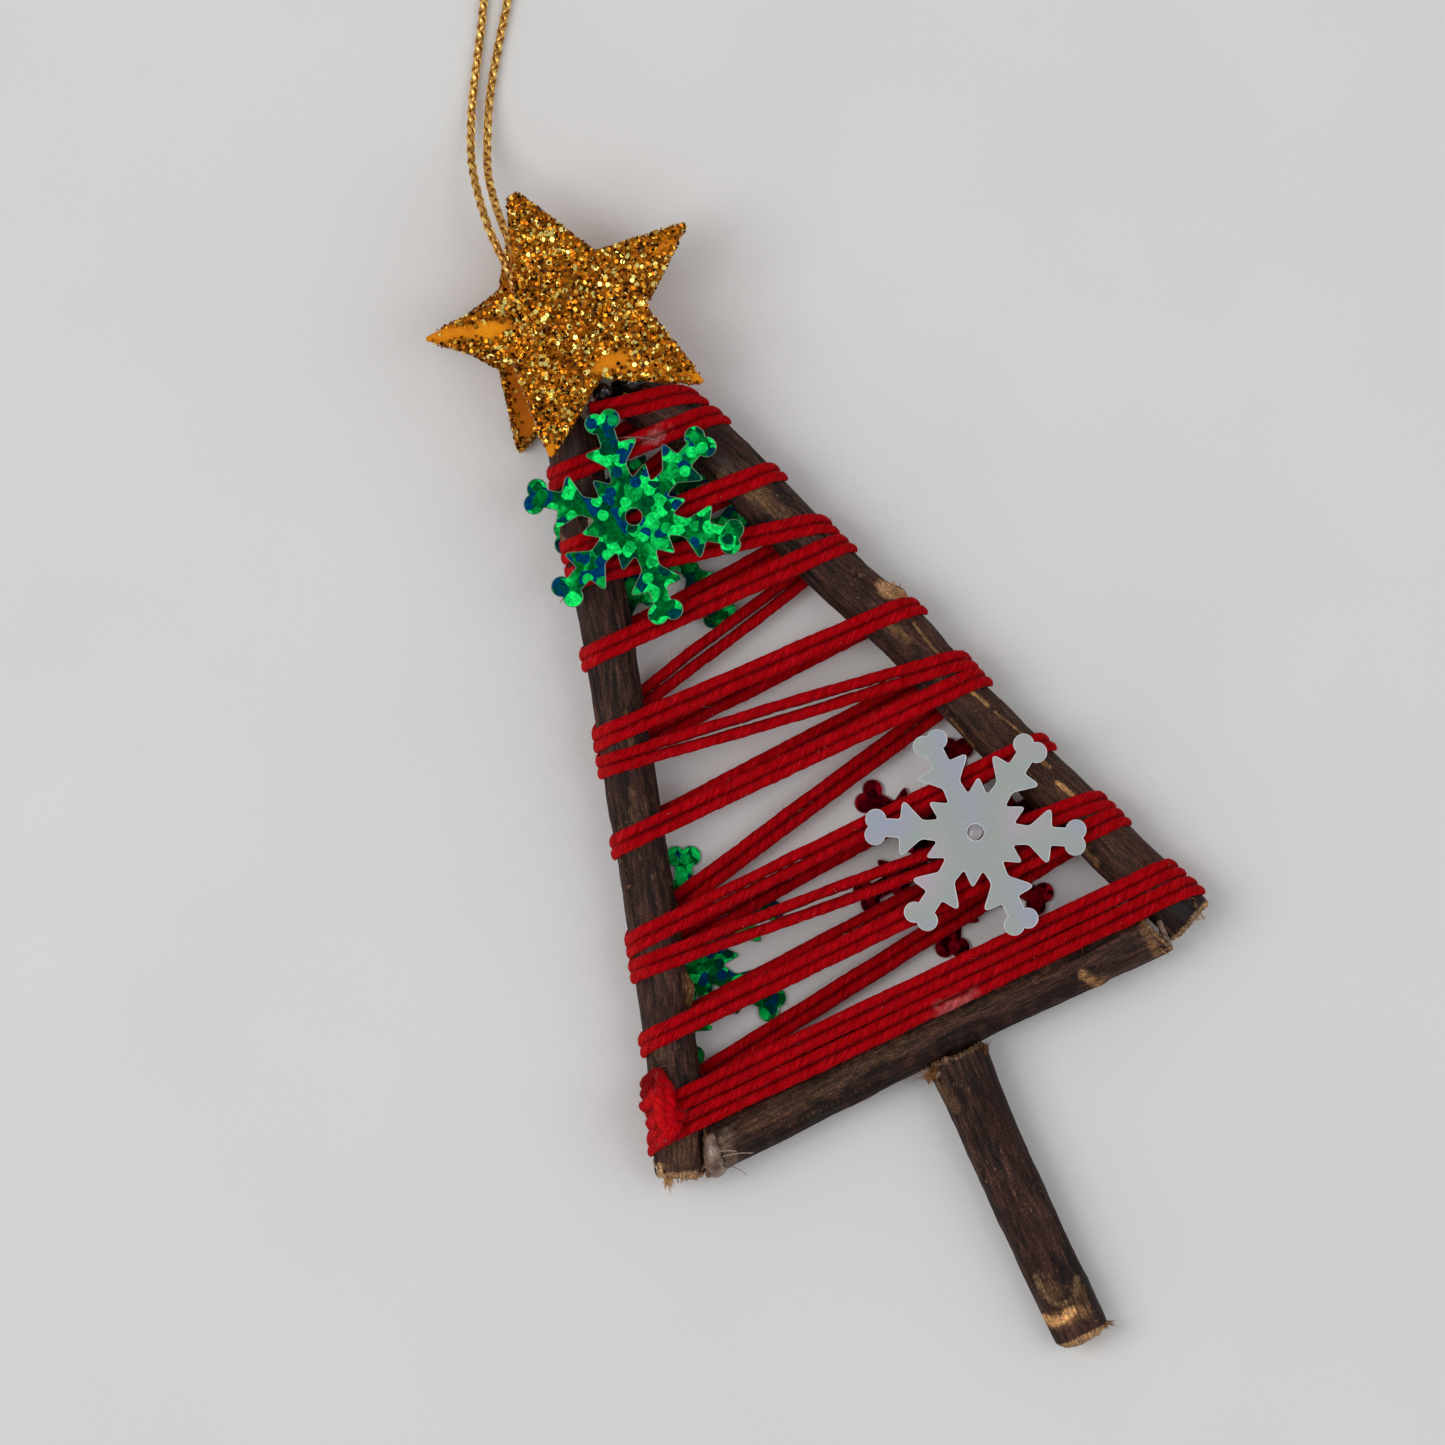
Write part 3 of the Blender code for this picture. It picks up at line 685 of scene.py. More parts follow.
def braid(path, threads, pitch):
    """A round braid: half of the threads turn each way and pass over and under the others.

    A thread's angle is +-2 pi s / pitch plus its start, and its distance from the middle is
    the mean radius +- weave x cos(threads / 2 x angle), in opposite sense for the two ways.
    A thread has painted shade where it dips under the others, and the darker the more orange.
    """
    s = run_of(path)
    across, up = upright(tangents(path))
    half = threads // 2
    turn = 2 * math.pi * s / pitch
    parts, colours, grains = [], [], []
    for k in range(threads):
        way = 1 if k < half else -1
        angle = way * turn + 2 * math.pi * (k % half) / half
        out = np.cos(angle)[:, None] * across + np.sin(angle)[:, None] * up
        dip = way * np.cos(half * turn)
        centre = path + (THREAD_R + THREAD_WEAVE * dip)[:, None] * out
        side = unit(np.cross(tangents(centre), out))
        parts.append(shell(centre[:, None] + circle(THREAD_HALF_WIDTH * side,
                                                    THREAD_HALF_DEPTH * out, THREAD_ROUNDS)))
        shade = 1.0 + 0.4 * noise(np.full_like(s, 0.1 * k), s / s[-1], 8, 130, 40 + k)
        # Painted shade: darker where the thread dips under the others. The threads that turn the
        # other way are browner.
        shade = shade * (0.4 + 0.6 * ease(-0.7, 0.2, dip)) * (1.0 if way > 0 else 0.6)
        colour = np.repeat(shade[:, None], len(THREAD_ROUNDS), axis=1)
        colours.append(poles(np.dstack([colour, colour ** 1.2, colour ** 1.6])))
        grains.append(poles(np.dstack([0.3 * np.cos(THREAD_ROUNDS) + k + 0 * colour,
                                       0.3 * np.sin(THREAD_ROUNDS) + 0 * colour,
                                       s[:, None] + 0 * colour])))
    return join(parts), np.vstack(colours), np.vstack(grains)


class CordSettings(bpy.types.PropertyGroup):
    gold: colour_setting("Thread", "Colour of the metallic thread", (1.0, 0.64, 0.19))
    core: colour_setting("Core", "Colour of the yarn inside the braid", (0.22, 0.07, 0.006))
    pitch: length_setting("Pitch", "Length of one turn of a thread", 3.9)
    threads: IntProperty(name="Threads", description="Threads in the braid, an even number",
                         default=6, min=4, max=16)


class ORNAMENT_OT_cord(bpy.types.Operator):
    """Braid the gold hanging cord along the CAD cord's route"""
    bl_idname = "ornament.cord"
    bl_label = "Hanging cord"

    def execute(self, context):
        values = context.scene.ornament_cord
        route = smooth_route(CORD_ROUTE, 1250)
        threads, shade, grain = braid(route, values.threads, values.pitch / MM)
        tint = np.column_stack([shade * np.array(values.gold), np.full(len(shade), 0.7)])
        middle = route[::3]
        core = shell(middle[:, None]
                     + THREAD_R * circle(*upright(tangents(middle)), THREAD_ROUNDS))
        core_tint = np.tile([*values.core, 0.1], (len(core[0]), 1))
        points, faces = join([threads, core])
        made = piece("hanging_cord_braid", points, faces, [cord_finish()], "cord_gold",
                     ["hanging_cord"], np.vstack([tint, core_tint]),
                     np.vstack([grain, core[0]]))
        return {"FINISHED"}


# ---- twigs ---------------------------------------------------------------------------------

def on_stroke(points, facing, path, width, broken):
    """How much a vertex lies in a stroke seen from the front: exp(-(distance / width)^2),
    with broken edges.
    """
    line = smooth_route(path, 14)
    away = np.min([((points[..., :2] - at) ** 2).sum(axis=-1) for at in line], axis=0)
    return (ease(0.22, 0.8, np.exp(-away / width ** 2) * (1 + 0.5 * broken))
            * ease(-0.25, 0.15, facing))


END_RINGS = np.array([0.0, 0.18, 0.36, 0.54, 0.7, 0.84, 0.94])  # shares of a cut end's radius


def bumped(radius, bumps, middle, across, s, angle, diameter, fine):
    """The radii with their bumps, and how much each vertex lies on a raised bump."""
    knots = np.zeros_like(radius)
    for x, y, height, reach in bumps:
        row = np.argmin(((middle[:, :2] - (x, y)) ** 2).sum(axis=1))
        offset = np.dot((x, y) - middle[row, :2], across[row, :2])
        turn = math.acos(np.clip(offset / (diameter / 2), -1.0, 1.0))
        place = row * s[-1] / (len(middle) - 1)
        near = np.exp(-((s - place) / reach) ** 2)[:, None]
        gap = ((angle - turn + math.pi) % (2 * math.pi) - math.pi) * diameter / 2
        if height > 0:
            knots = np.maximum(knots, near * np.exp(-(gap / (0.8 * reach)) ** 2))
        radius = radius + (height * near * np.exp(-(gap / (0.75 * reach)) ** 2)
                           * (1 + 0.5 * fine))
    return radius, knots


def end_slide(s, share, at_end, strands, wood, ragged, dome, longer):
    """How far each vertex is pushed along its twig: ragged, domed and lengthened ends."""
    slide = np.zeros_like(strands)
    for end, way, depth in ((1, -1, ragged[0]), (2, 1, ragged[1])):
        from_end = s if end == 1 else s[-1] - s
        fade = np.exp(-from_end / 0.7)[:, None] * share[:, None] ** 1.5
        on_cut = (at_end == end)[:, None]
        slide += way * depth * strands * fade
        slide += way * depth * 0.7 * wood * on_cut * share[:, None]
        slide += way * dome[end - 1] * (1 - share ** 2)[:, None] * on_cut
    slide += (longer[1] * np.exp((s - s[-1]) / 2.0) - longer[0] * np.exp(-s / 2.0))[:, None]
    return slide


def bark_twig(name, line, diameter, bumps, strokes, glossy, finish, values, seed, flare=0.0,
              cuts=(), ragged=(0.25, 0.25), torn=0.0, longer=(0.0, 0.0), fresh=(1.0, 1.0),
              dome=(0.0, 0.0)):
    """A twig: rings along its line, raised and lowered by noises stretched along the grain.

    Radius = half the diameter + broad waves + ridges + fine ridges - cracks + bumps. A bump is
    (x, y, height, reach) on the front, a stroke (path, width, colour, share), and a glossy
    place (path, width, share). The cut ends are ragged and domed, and as pale as fresh says.
    """
    length = run_of(line)[-1]
    rows = int(length / values.step * MM)
    sides = values.sides
    middle = smooth_route(line[::8] if len(line) > 40 else line, rows)
    s = np.linspace(0.0, length, rows)
    order = np.pad(np.arange(rows), len(END_RINGS), mode="edge")
    share = np.concatenate([END_RINGS, np.ones(rows), END_RINGS[::-1]])
    # 1 and 2 on the two cut ends, 0 along the bark
    at_end = np.repeat([1, 0, 2], [len(END_RINGS), rows, len(END_RINGS)])
    s = s[order]
    along = tangents(middle)
    across, up = upright(along)
    angle = np.arange(sides) * 2 * math.pi / sides
    u = np.broadcast_to(angle / (2 * math.pi), (len(s), sides))
    v = np.broadcast_to((s / length)[:, None], u.shape)
    girth = math.pi * diameter
    warp = 0.012 * noise(u, v, 4, length / 4, seed)
    broad = rough_noise(u, v, girth / 3.6, length / 5.0, seed + 1)
    ridge = rough_noise(u + warp, v, girth / 0.75, length / 4.2, seed + 2, 2)
    fine = noise(u + warp, v, girth / 0.27, length / 2.6, seed + 3)
    finer = noise(u + warp, v, girth / 0.23, length / 1.1, seed + 4)
    crack = ease(0.35, 0.8, noise(u + warp, v, girth / 0.42, length / 3.4, seed + 5))
    ringed = noise(u, v, girth / 2.4, length / 0.5, seed + 6)
    radius = (diameter / 2 + values.wave / MM * broad + values.ridge / MM * ridge
              + values.fine / MM * (0.7 * fine + 0.45 * finer) - 0.06 * crack + 0.012 * ringed)
    radius = radius * (1.0 + flare * np.exp(-s / 2.5)[:, None])
    radius, knots = bumped(radius, bumps, middle, across, s, angle, diameter, fine)
    worn = np.exp(-np.minimum(s, length - s) / 0.35)[:, None]
    radius = radius * (1 - 0.05 * worn) * share[:, None]
    strands = (0.45 * noise(u, v * 0, girth / 0.5, 1, seed + 7)
               + 0.7 * noise(u, v * 0, girth / 2.2, 1, seed + 8))
    wood = noise(u, share[:, None] + 0 * u, girth / 0.45, 7, seed + 9)
    slide = end_slide(s, share, at_end, strands, wood, ragged, dome, longer)
    centres, along, across, up = (part[order] for part in (middle, along, across, up))
    for end, direction in cuts:
        row = 0 if end == 1 else len(s) - 1
        slope = np.dot(direction, along[row]) / np.dot(direction, across[row])
        from_end = s if end == 1 else length - s
        slide += (slope * radius * np.cos(angle)) * np.exp(-from_end / 3.0)[:, None]
    points = (centres[:, None] + radius[..., None] * circle(across, up, angle)
              + slide[..., None] * along[:, None])

    facing = np.broadcast_to(np.sin(angle), u.shape)
    mid = rough_noise(u, v, girth / 1.3, length / 2.6, seed + 10)
    patchy = rough_noise(u, v, girth / 0.5, length / 0.9, seed + 11, 2)
    colour = blend(np.array(values.dark), np.array(values.light),
                   ease(-0.75, 0.9, 0.45 * ridge + 0.5 * fine + 0.45 * finer - 0.5 * crack))
    colour = blend(colour, np.array(values.red), 0.6 * ease(-0.3, 0.6, mid))
    colour = blend(colour, np.array(values.dark) * 0.6, 0.5 * crack)
    speck = rough_noise(u, v, girth / 0.4, length / 0.4, seed + 14, 2)
    fleck = ease(0.7, 0.85, noise(u + warp, v, girth / 0.19, length / 0.4, seed + 12))
    some = ease(0.05, 0.5, noise(u, v, girth / 2.0, length / 3.2, seed + 13))
    colour = blend(colour, np.array(values.fleck), fleck * some * 0.5)
    rough = np.full(u.shape, 0.72) + 0.1 * mid
    colour = blend(colour, paint(112, 82, 56), 0.5 * ease(0.3, 0.9, knots))
    for path, width, shade, amount in strokes:
        mask = amount * on_stroke(points, facing, path, width, patchy + 0.8 * speck)
        colour = blend(colour, paint(*shade) * (1.0 + 0.4 * speck[..., None]), mask)
    for path, width, amount in glossy:
        mask = amount * on_stroke(points, facing, path, width, 0.5 * mid)
        rough = rough * (1 - mask) + 0.16 * mask
        colour = colour * (1 - 0.5 * mask[..., None])
    near_end = np.exp(-np.minimum(s, length - s) / (0.25 + torn))[:, None]
    cut = (at_end > 0)[:, None] * ease(0.3, 0.75, 1.25 - share[:, None] + 0 * u)
    bare = np.maximum(cut, ease(0.55, 0.8, near_end * (1 + 0.5 * strands)) * (torn > 0))
    bare = bare * np.where(v < 0.5, *fresh)
    pale = blend(np.array(values.wood), np.array(values.wood) * 0.55, ease(-0.1, 0.8, wood))
    colour = blend(colour, pale, bare * np.where(at_end > 0, 1.0, 0.75)[:, None])
    tint = np.concatenate([colour.clip(0.0), rough.clip(0.1, 1.0)[..., None]], axis=-1)
    grain = np.dstack([diameter / 2 * np.cos(angle)[None] + 0 * u,
                       diameter / 2 * np.sin(angle)[None] + 0 * u, s[:, None] + 0 * u])
    return piece(name, *shell(points), [finish], "bark", [name.replace("_bark", "")],
                 poles(tint), poles(grain))


def splinters(name, groups, seed):
    """Torn wood fibres: thin bent spikes that start in an oval and lean about one direction.

    A group is (x, y, z, half length, half width, heading in degrees, spread, lift, count,
    length, radius, shade).
    """
    rng = np.random.default_rng(seed)
    parts, colours = [], []
    steps = np.linspace(0.0, 1.0, 5)
    for x, y, z, half_x, half_y, heading, spread, lift, count, length, radius, shade in groups:
        base = np.array([x, y, z]) + rng.normal(0.0, 0.7, (count, 3)).clip(-1.1, 1.1) * (
            half_x, half_y, 0.35)
        turn = np.radians(heading + rng.normal(0.0, spread, count))
        rise = np.radians(lift + rng.normal(0.0, 12.0, count))
        way = np.column_stack([np.cos(turn) * np.cos(rise), np.sin(turn) * np.cos(rise),
                               np.sin(rise)])
        reach = length * rng.uniform(0.45, 1.25, count)
        bend = rng.normal(0.0, 0.18, (count, 3))
        paths = (base[:, None] + way[:, None] * (reach[:, None] * steps)[..., None]
                 + bend[:, None] * (reach[:, None] * steps ** 2)[..., None])
        radii = (radius * rng.uniform(0.6, 1.4, count))[:, None] * (1.05 - steps)
        parts.append(bundle(paths, radii, 4))
        tone = paint(*shade) * rng.uniform(0.55, 1.25, (count, 1))
        colours.append(np.repeat(tone, len(steps) * 4, axis=0))
    points, faces = join(parts)
    return piece(name, points, faces, [fibre_finish("wood_fibre")], "bark",
                 tint=np.vstack(colours))


class TwigSettings(bpy.types.PropertyGroup):
    step: length_setting("Step", "Distance between rings", 0.13)
    sides: IntProperty(name="Sides", description="Points round a twig", default=144, min=24)
    wave: length_setting("Waves", "Height of the broad unevenness", 0.09)
    ridge: length_setting("Ridges", "Height of the ridges along the bark", 0.055)
    fine: length_setting("Fine ridges", "Height of the fine ridges", 0.05)
    dark: colour_setting("Dark bark", "Colour of the bark's hollows", paint(26, 16, 14))
    light: colour_setting("Light bark", "Colour of the bark's ridges", paint(80, 53, 45))
    red: colour_setting("Red bark", "Colour of the reddish places", paint(58, 33, 28))
    fleck: colour_setting("Flecks", "Colour of the pale flecks", paint(140, 110, 82))
    wood: colour_setting("Bare wood", "Colour of torn and cut wood", paint(198, 156, 114))


class ORNAMENT_OT_twigs(bpy.types.Operator):
    """Dress the four twigs in ridged bark with torn ends"""
    bl_idname = "ornament.twigs"
    bl_label = "Twigs"

    def execute(self, context):
        values = context.scene.ornament_twigs
        finish = bark_finish()
        tan, pale, moss, umber = (140, 104, 68), (196, 152, 108), (104, 78, 54), (30, 18, 15)
        bark_twig("twig_left_leg_bark", LEFT_LINE, LEFT_LEG_D,
                  ((-17.4, -13.0, 0.5, 1.1), (-9.5, 28.9, 0.25, 0.8), (-22.5, -17.0, 0.2, 1.2)),
                  ((((-17.2, -12.1), (-17.9, -14.1)), 0.6, tan, 0.85),
                   (((-9.6, 29.3), (-9.3, 28.4)), 0.4, tan, 0.6),
                   (((-23.6, -23.8), (-26.0, -27.2)), 1.5, moss, 0.4),
                   (((-27.1, -26.2), (-27.9, -27.8)), 0.35, pale, 0.9),
                   (((-27.0, -27.3), (-24.6, -28.3)), 0.25, (186, 144, 112), 0.7),
                   (((-11.2, 12.0), (-12.4, 8.0)), 0.35, tan, 0.3),
                   (((-14.0, 5.5), (-15.6, 1.0)), 0.4, moss, 0.4)),
                  ((((-4.6, 35.0), (-5.4, 31.5)), 1.3, 0.5),), finish, values, 11,
                  ragged=(0.5, 0.25), torn=0.12, fresh=(1.0, 0.1), dome=(0.3, 0.0))
        bark_twig("twig_right_leg_bark", RIGHT_LINE, RIGHT_LEG_D,
                  ((15.9, 10.4, 0.75, 1.15), (6.2, 26.6, 0.2, 1.0), (20.9, -12.3, 0.15, 1.0),
                   (18.9, 2.0, -0.32, 5.0), (21.2, -6.0, -0.15, 4.0)),
                  ((((14.8, 11.5), (15.8, 9.7)), 0.8, pale, 0.8),
                   (((14.0, 8.0), (18.0, -5.0), (24.0, -24.0)), 3.0, (78, 50, 38), 0.4),
                   (((15.7, 7.2), (16.4, 3.9)), 0.17, (176, 136, 88), 0.75),
                   (((17.3, -0.1), (18.4, -2.5)), 0.2, (180, 140, 92), 0.8),
                   (((18.7, -3.3), (20.2, -6.7)), 0.13, (176, 136, 88), 0.75),
                   (((14.8, -2.1), (15.5, -5.2)), 0.16, (150, 112, 72), 0.6),
                   (((20.2, -8.8), (20.8, -9.9)), 0.22, (150, 112, 72), 0.7),
                   (((20.8, -11.6), (21.8, -13.7)), 0.27, (184, 142, 94), 0.8),
                   (((19.8, -16.4), (20.7, -19.8)), 0.28, tan, 0.75),
                   (((6.6, 27.0), (8.8, 23.4)), 0.9, moss, 0.75),
                   (((8.6, 23.0), (9.9, 20.4)), 0.7, moss, 0.6),
                   (((13.2, 9.6), (14.6, 6.2)), 0.4, tan, 0.4),
                   (((18.0, -7.8), (19.2, -11.2)), 0.35, moss, 0.4),
                   (((25.0, -26.0), (26.4, -28.4)), 2.4, (24, 15, 13), 0.9)),
                  ((((0.8, 39.2), (3.6, 36.6)), 2.2, 0.95),
                   (((25.2, -25.0), (26.6, -28.0)), 1.4, 0.6),
                   (((6.2, 29.6), (7.0, 27.6)), 0.8, 0.5)), finish, values, 23,
                  ragged=(0.55, 0.3), torn=0.15, fresh=(0.7, 0.1), dome=(0.3, 0.0))
        legs = (tangents(LEFT_LINE)[0], tangents(RIGHT_LINE)[0])
        bark_twig("twig_crossbar_bark", CROSSBAR_LINE, CROSSBAR_D,
                  ((15.8, -29.3, 0.4, 1.2), (-8.5, -29.6, 0.15, 1.4)),
                  ((((-19.5, -26.6), (-11.0, -26.5), (-3.0, -26.3)), 0.95, moss, 0.3),
                   (((-2.0, -26.3), (5.0, -26.2), (12.0, -26.5)), 0.7, moss, 0.2),
                   (((-18.5, -29.1), (-8.0, -28.7), (3.0, -28.7), (13.0, -29.1)), 1.2, umber,
                    0.85),
                   (((-15.0, -28.4), (-7.0, -28.3)), 0.1, tan, 0.35),
                   (((15.0, -28.2), (16.2, -30.2)), 0.6, tan, 0.8),
                   (((21.7, -26.9), (21.9, -29.6)), 0.5, tan, 0.45),
                   (((-20.6, -26.3), (-21.4, -29.2)), 0.7, (140, 118, 98), 0.6)),
                  ((((-20.2, -26.0), (-21.0, -29.0)), 1.2, 0.5),), finish, values, 37,
                  cuts=((1, legs[0]), (2, legs[1])), ragged=(0.2, 0.45), torn=0.12,
                  longer=(0.3, 0.3), fresh=(0.35, 0.6))
        bark_twig("twig_trunk_bark", TRUNK_LINE, TRUNK_D,
                  ((-0.6, -52.5, 0.22, 1.4), (1.6, -53.6, 0.18, 1.2)),
                  ((((3.2, -33.0), (3.4, -42.0), (3.2, -51.0)), 1.3, umber, 0.55),
                   (((-1.3, -50.7), (-1.4, -52.4), (-0.6, -53.9), (1.0, -53.9), (1.9, -52.6)), 0.34,
                    (122, 98, 70), 0.75),
                   (((-2.0, -55.0), (1.2, -55.4)), 0.9, tan, 0.5),
                   (((-2.4, -54.5), (-1.4, -55.2), (0.2, -55.0)), 0.5, (206, 156, 104), 0.9),
                   (((-1.3, -31.4), (-0.8, -33.8)), 0.6, moss, 0.55)),
                  (), finish, values, 53, flare=0.14, ragged=(0.45, 0.3), torn=0.1,
                  longer=(0.3, 0.0), fresh=(0.25, 1.0), dome=(0.0, 0.75))
        splinters("torn_wood", (
            (-27.0, -27.4, 4.3, 0.3, 0.25, 250.0, 16.0, 0.0, 46, 1.1, 0.06, (206, 160, 104)),
            (-25.3, -28.1, 5.4, 1.6, 0.2, 250.0, 30.0, 0.0, 70, 0.42, 0.05, (196, 158, 130)),
            (-27.4, -26.2, 5.2, 0.2, 0.7, 250.0, 10.0, 5.0, 26, 0.8, 0.08, (214, 196, 160)),
            (26.1, -28.1, 5.0, 0.9, 0.3, 285.0, 25.0, 5.0, 50, 0.6, 0.05, pale),
            (26.6, -26.6, 6.0, 0.4, 0.8, 300.0, 25.0, 20.0, 40, 0.6, 0.05, tan),
            (22.4, -28.6, 5.4, 0.25, 1.2, 330.0, 30.0, 10.0, 60, 0.6, 0.05, pale),
            (-1.3, -30.4, 5.6, 0.7, 0.3, 80.0, 25.0, 15.0, 60, 1.0, 0.05, (150, 96, 50)),
            (-1.5, -30.2, 5.3, 0.3, 0.3, 158.0, 12.0, 5.0, 24, 1.4, 0.045, (180, 140, 106)),
            (3.7, -30.4, 5.4, 0.5, 0.3, 75.0, 25.0, 15.0, 60, 0.9, 0.05, (110, 72, 44)),
            (15.6, 10.6, 7.0, 0.5, 0.7, 20.0, 45.0, 20.0, 46, 0.55, 0.05, pale),
            (2.3, -57.4, 3.6, 0.5, 0.25, 320.0, 30.0, 10.0, 34, 0.7, 0.05, tan),
        ), 71)
        return {"FINISHED"}


# ---- yarn ----------------------------------------------------------------------------------

YARN_R = 0.54
YARN_OFF_BARK = -0.12
YARN_SQUASH = 0.62
LOOSE_PASSES = ((11, 0.17), (17, 0.19), (8, 0.12))
STRAND_SIDES = 15
FIBRE_R = 0.014
KNOT_FIBRES = 1100


def leg_station(line, reach, side, y):
    """Where on a leg the yarn's outermost point lies at y: centre, direction and outward."""
    along = tangents(line)
    out = unit(np.cross(along, (0.0, 0.0, 1.0))) * side
    outer_y = line[:, 1] + out[:, 1] * reach
    order = np.argsort(outer_y)
    pick = np.array([np.interp(y, outer_y[order], values[order])
                     for values in (*line.T, *along.T)])
    direction = unit(pick[3:])
    return pick[:3], direction, unit(np.cross(direction, (0.0, 0.0, 1.0))) * side


def wrap(station, reach, before, after, from_back, steps):
    """The half turn round a leg: a helix whose pitch follows the passes on either side."""
    centre, direction, out = station
    turn = np.linspace(-0.5, 0.5, steps + 1) * math.pi * (1 if from_back else -1)
    drift_in = np.dot(before, direction) / abs(np.dot(before, out))
    drift_out = np.dot(after, direction) / abs(np.dot(after, out))
    share = np.abs(turn) * reach
    first = np.arange(len(turn)) < len(turn) / 2
    drift = np.where(first, -drift_in * share, drift_out * share)
    up = np.cross(direction, out)
    up = up if up[2] > 0 else -up
    normal = np.cos(turn)[:, None] * out + np.sin(turn)[:, None] * up
    return centre + reach * normal + drift[:, None] * direction, normal


def yarn_route(steps=16):
    """The pair's whole winding: points on its centre line, and the way its flat side faces."""
    left_reach = LEFT_LEG_D / 2 + YARN_OFF_BARK + YARN_R * YARN_SQUASH
    right_reach = RIGHT_LEG_D / 2 + YARN_OFF_BARK + YARN_R * YARN_SQUASH
    start = np.array([*FIRST_PASS_START, 0.0])
    start[2] = twig_height(start[1]) + LEG_R + YARN_OFF_BARK + YARN_R
    stops = []
    for i, right_y in enumerate(RIGHT_CROSSINGS):
        stops.append((leg_station(RIGHT_LINE, right_reach, 1, right_y), right_reach, False))
        if i < len(LEFT_CROSSINGS):
            stops.append((leg_station(LEFT_LINE, left_reach, -1, LEFT_CROSSINGS[i]), left_reach,
                          True))
    last = LEFT_LINE[np.argmin(np.abs(LEFT_LINE[:, 1] - YARN_END_Y))]
    end = np.array([last[0], last[1], last[2] - LEFT_LEG_D / 2 - YARN_OFF_BARK - YARN_R])
    arrives = np.array([start, *(stop[0][0] for stop in stops), end])
    leaves = arrives.copy()
    for fitting in range(10):
        passes = unit((arrives[1:] - leaves[:-1]) * (1, 1, 0))
        wraps = [wrap(station, reach, passes[i], passes[i + 1], from_back, steps)
                 for i, (station, reach, from_back) in enumerate(stops)]
        arrives[1:-1] = (arrives[1:-1] + [route[0] for route, normal in wraps]) / 2
        leaves[1:-1] = (leaves[1:-1] + [route[-1] for route, normal in wraps]) / 2
    points = np.vstack([start[None], *(route for route, normal in wraps), end[None]])
    normals = np.vstack([[[0.0, 0.0, 1.0]], *(normal for route, normal in wraps),
                         [[0.0, 0.0, -1.0]]])
    return points, normals


def strand_spacing(points, s, steps=16):
    """Half the distance between the two strands along the route, more in the loose passes; and
    their thickness over their width, less in the wraps, where the pull flattens the yarn.

    A loose pass opens by amount x sin^2(pi t), t from 0 to 1 between the wraps at its ends.
    """
    run = run_of(points)
    wraps = run[1 + steps // 2:-1:steps + 1]
    away = np.abs(s[:, None] - wraps).min(axis=1)
    squash = YARN_SQUASH + (1 - YARN_SQUASH) * ease(3.5, 9.0, away)
    apart = np.full(len(s), 0.5)
    for wrap_before, amount in LOOSE_PASSES:
        low, high = (run[1 + wrap_before * (steps + 1) + k] for k in (steps, steps + 1))
        share = ((s - low) / (high - low)).clip(0.0, 1.0)
        apart += amount * np.sin(math.pi * share) ** 2
    return apart, squash


def even_route(points, normals, step):
    """The route resampled evenly, its corners softened by a running mean of five points."""
    run = run_of(points)
    at = np.arange(0.0, run[-1], step)
    both = resampled(np.hstack([points, normals]), run, at)
    padded = np.vstack([both[:1], both[:1], both, both[-1:], both[-1:]])
    both = sum(padded[i:i + len(both)] for i in range(5)) / 5
    return both[:, :3], unit(both[:, 3:]), at


def strand(route, normals, s, offset, radius, pitch, phase, seed, squash=1.0):
    """One plied strand beside a route: its rings, where each vertex is, and the ply's depth.

    A section is a ring of three lobes, radius x (0.955 + 0.045 |cos(1.5 psi)|), and psi turns by
    one circle in each pitch, so the lobes run round the strand as plies.
    """
    along = tangents(route)
    across = unit(np.cross(along, normals))
    facing = np.cross(across, along)
    v = s / s[-1]
    loose = noise(0 * s + 0.3, v, 5, s[-1] / 3.5, seed)
    swell = noise(0 * s + 0.7, v, 5, s[-1] / 1.7, seed + 1)
    centre = (route + (offset + 0.05 * loose)[:, None] * across
              + (0.05 * noise(0 * s, v, 5, s[-1] / 5.0, seed + 2))[:, None] * facing)
    turn = np.arange(STRAND_SIDES) * 2 * math.pi / STRAND_SIDES
    twist = 2 * math.pi * (s / pitch + 0.35 * noise(0 * s + 0.1, v, 5, s[-1] / 6.0, seed + 4))
    psi = turn[None] - twist[:, None] - phase
    lobe = np.abs(np.cos(1.5 * psi))
    u = np.broadcast_to(turn / (2 * math.pi), psi.shape)
    lumps = noise(u, np.broadcast_to(v[:, None], u.shape), 5, s[-1] / 0.6, seed + 3)
    size = radius * (1 + 0.05 * swell[:, None]) * (0.955 + 0.045 * lobe + 0.055 * lumps)
    facing = facing * np.broadcast_to(squash, s.shape)[:, None]
    rings = centre[:, None] + size[..., None] * circle(across, facing, turn)
    grain = np.dstack([radius * np.cos(psi), radius * np.sin(psi),
                       np.broadcast_to(s[:, None], psi.shape)])
    return rings, grain, lobe, lumps


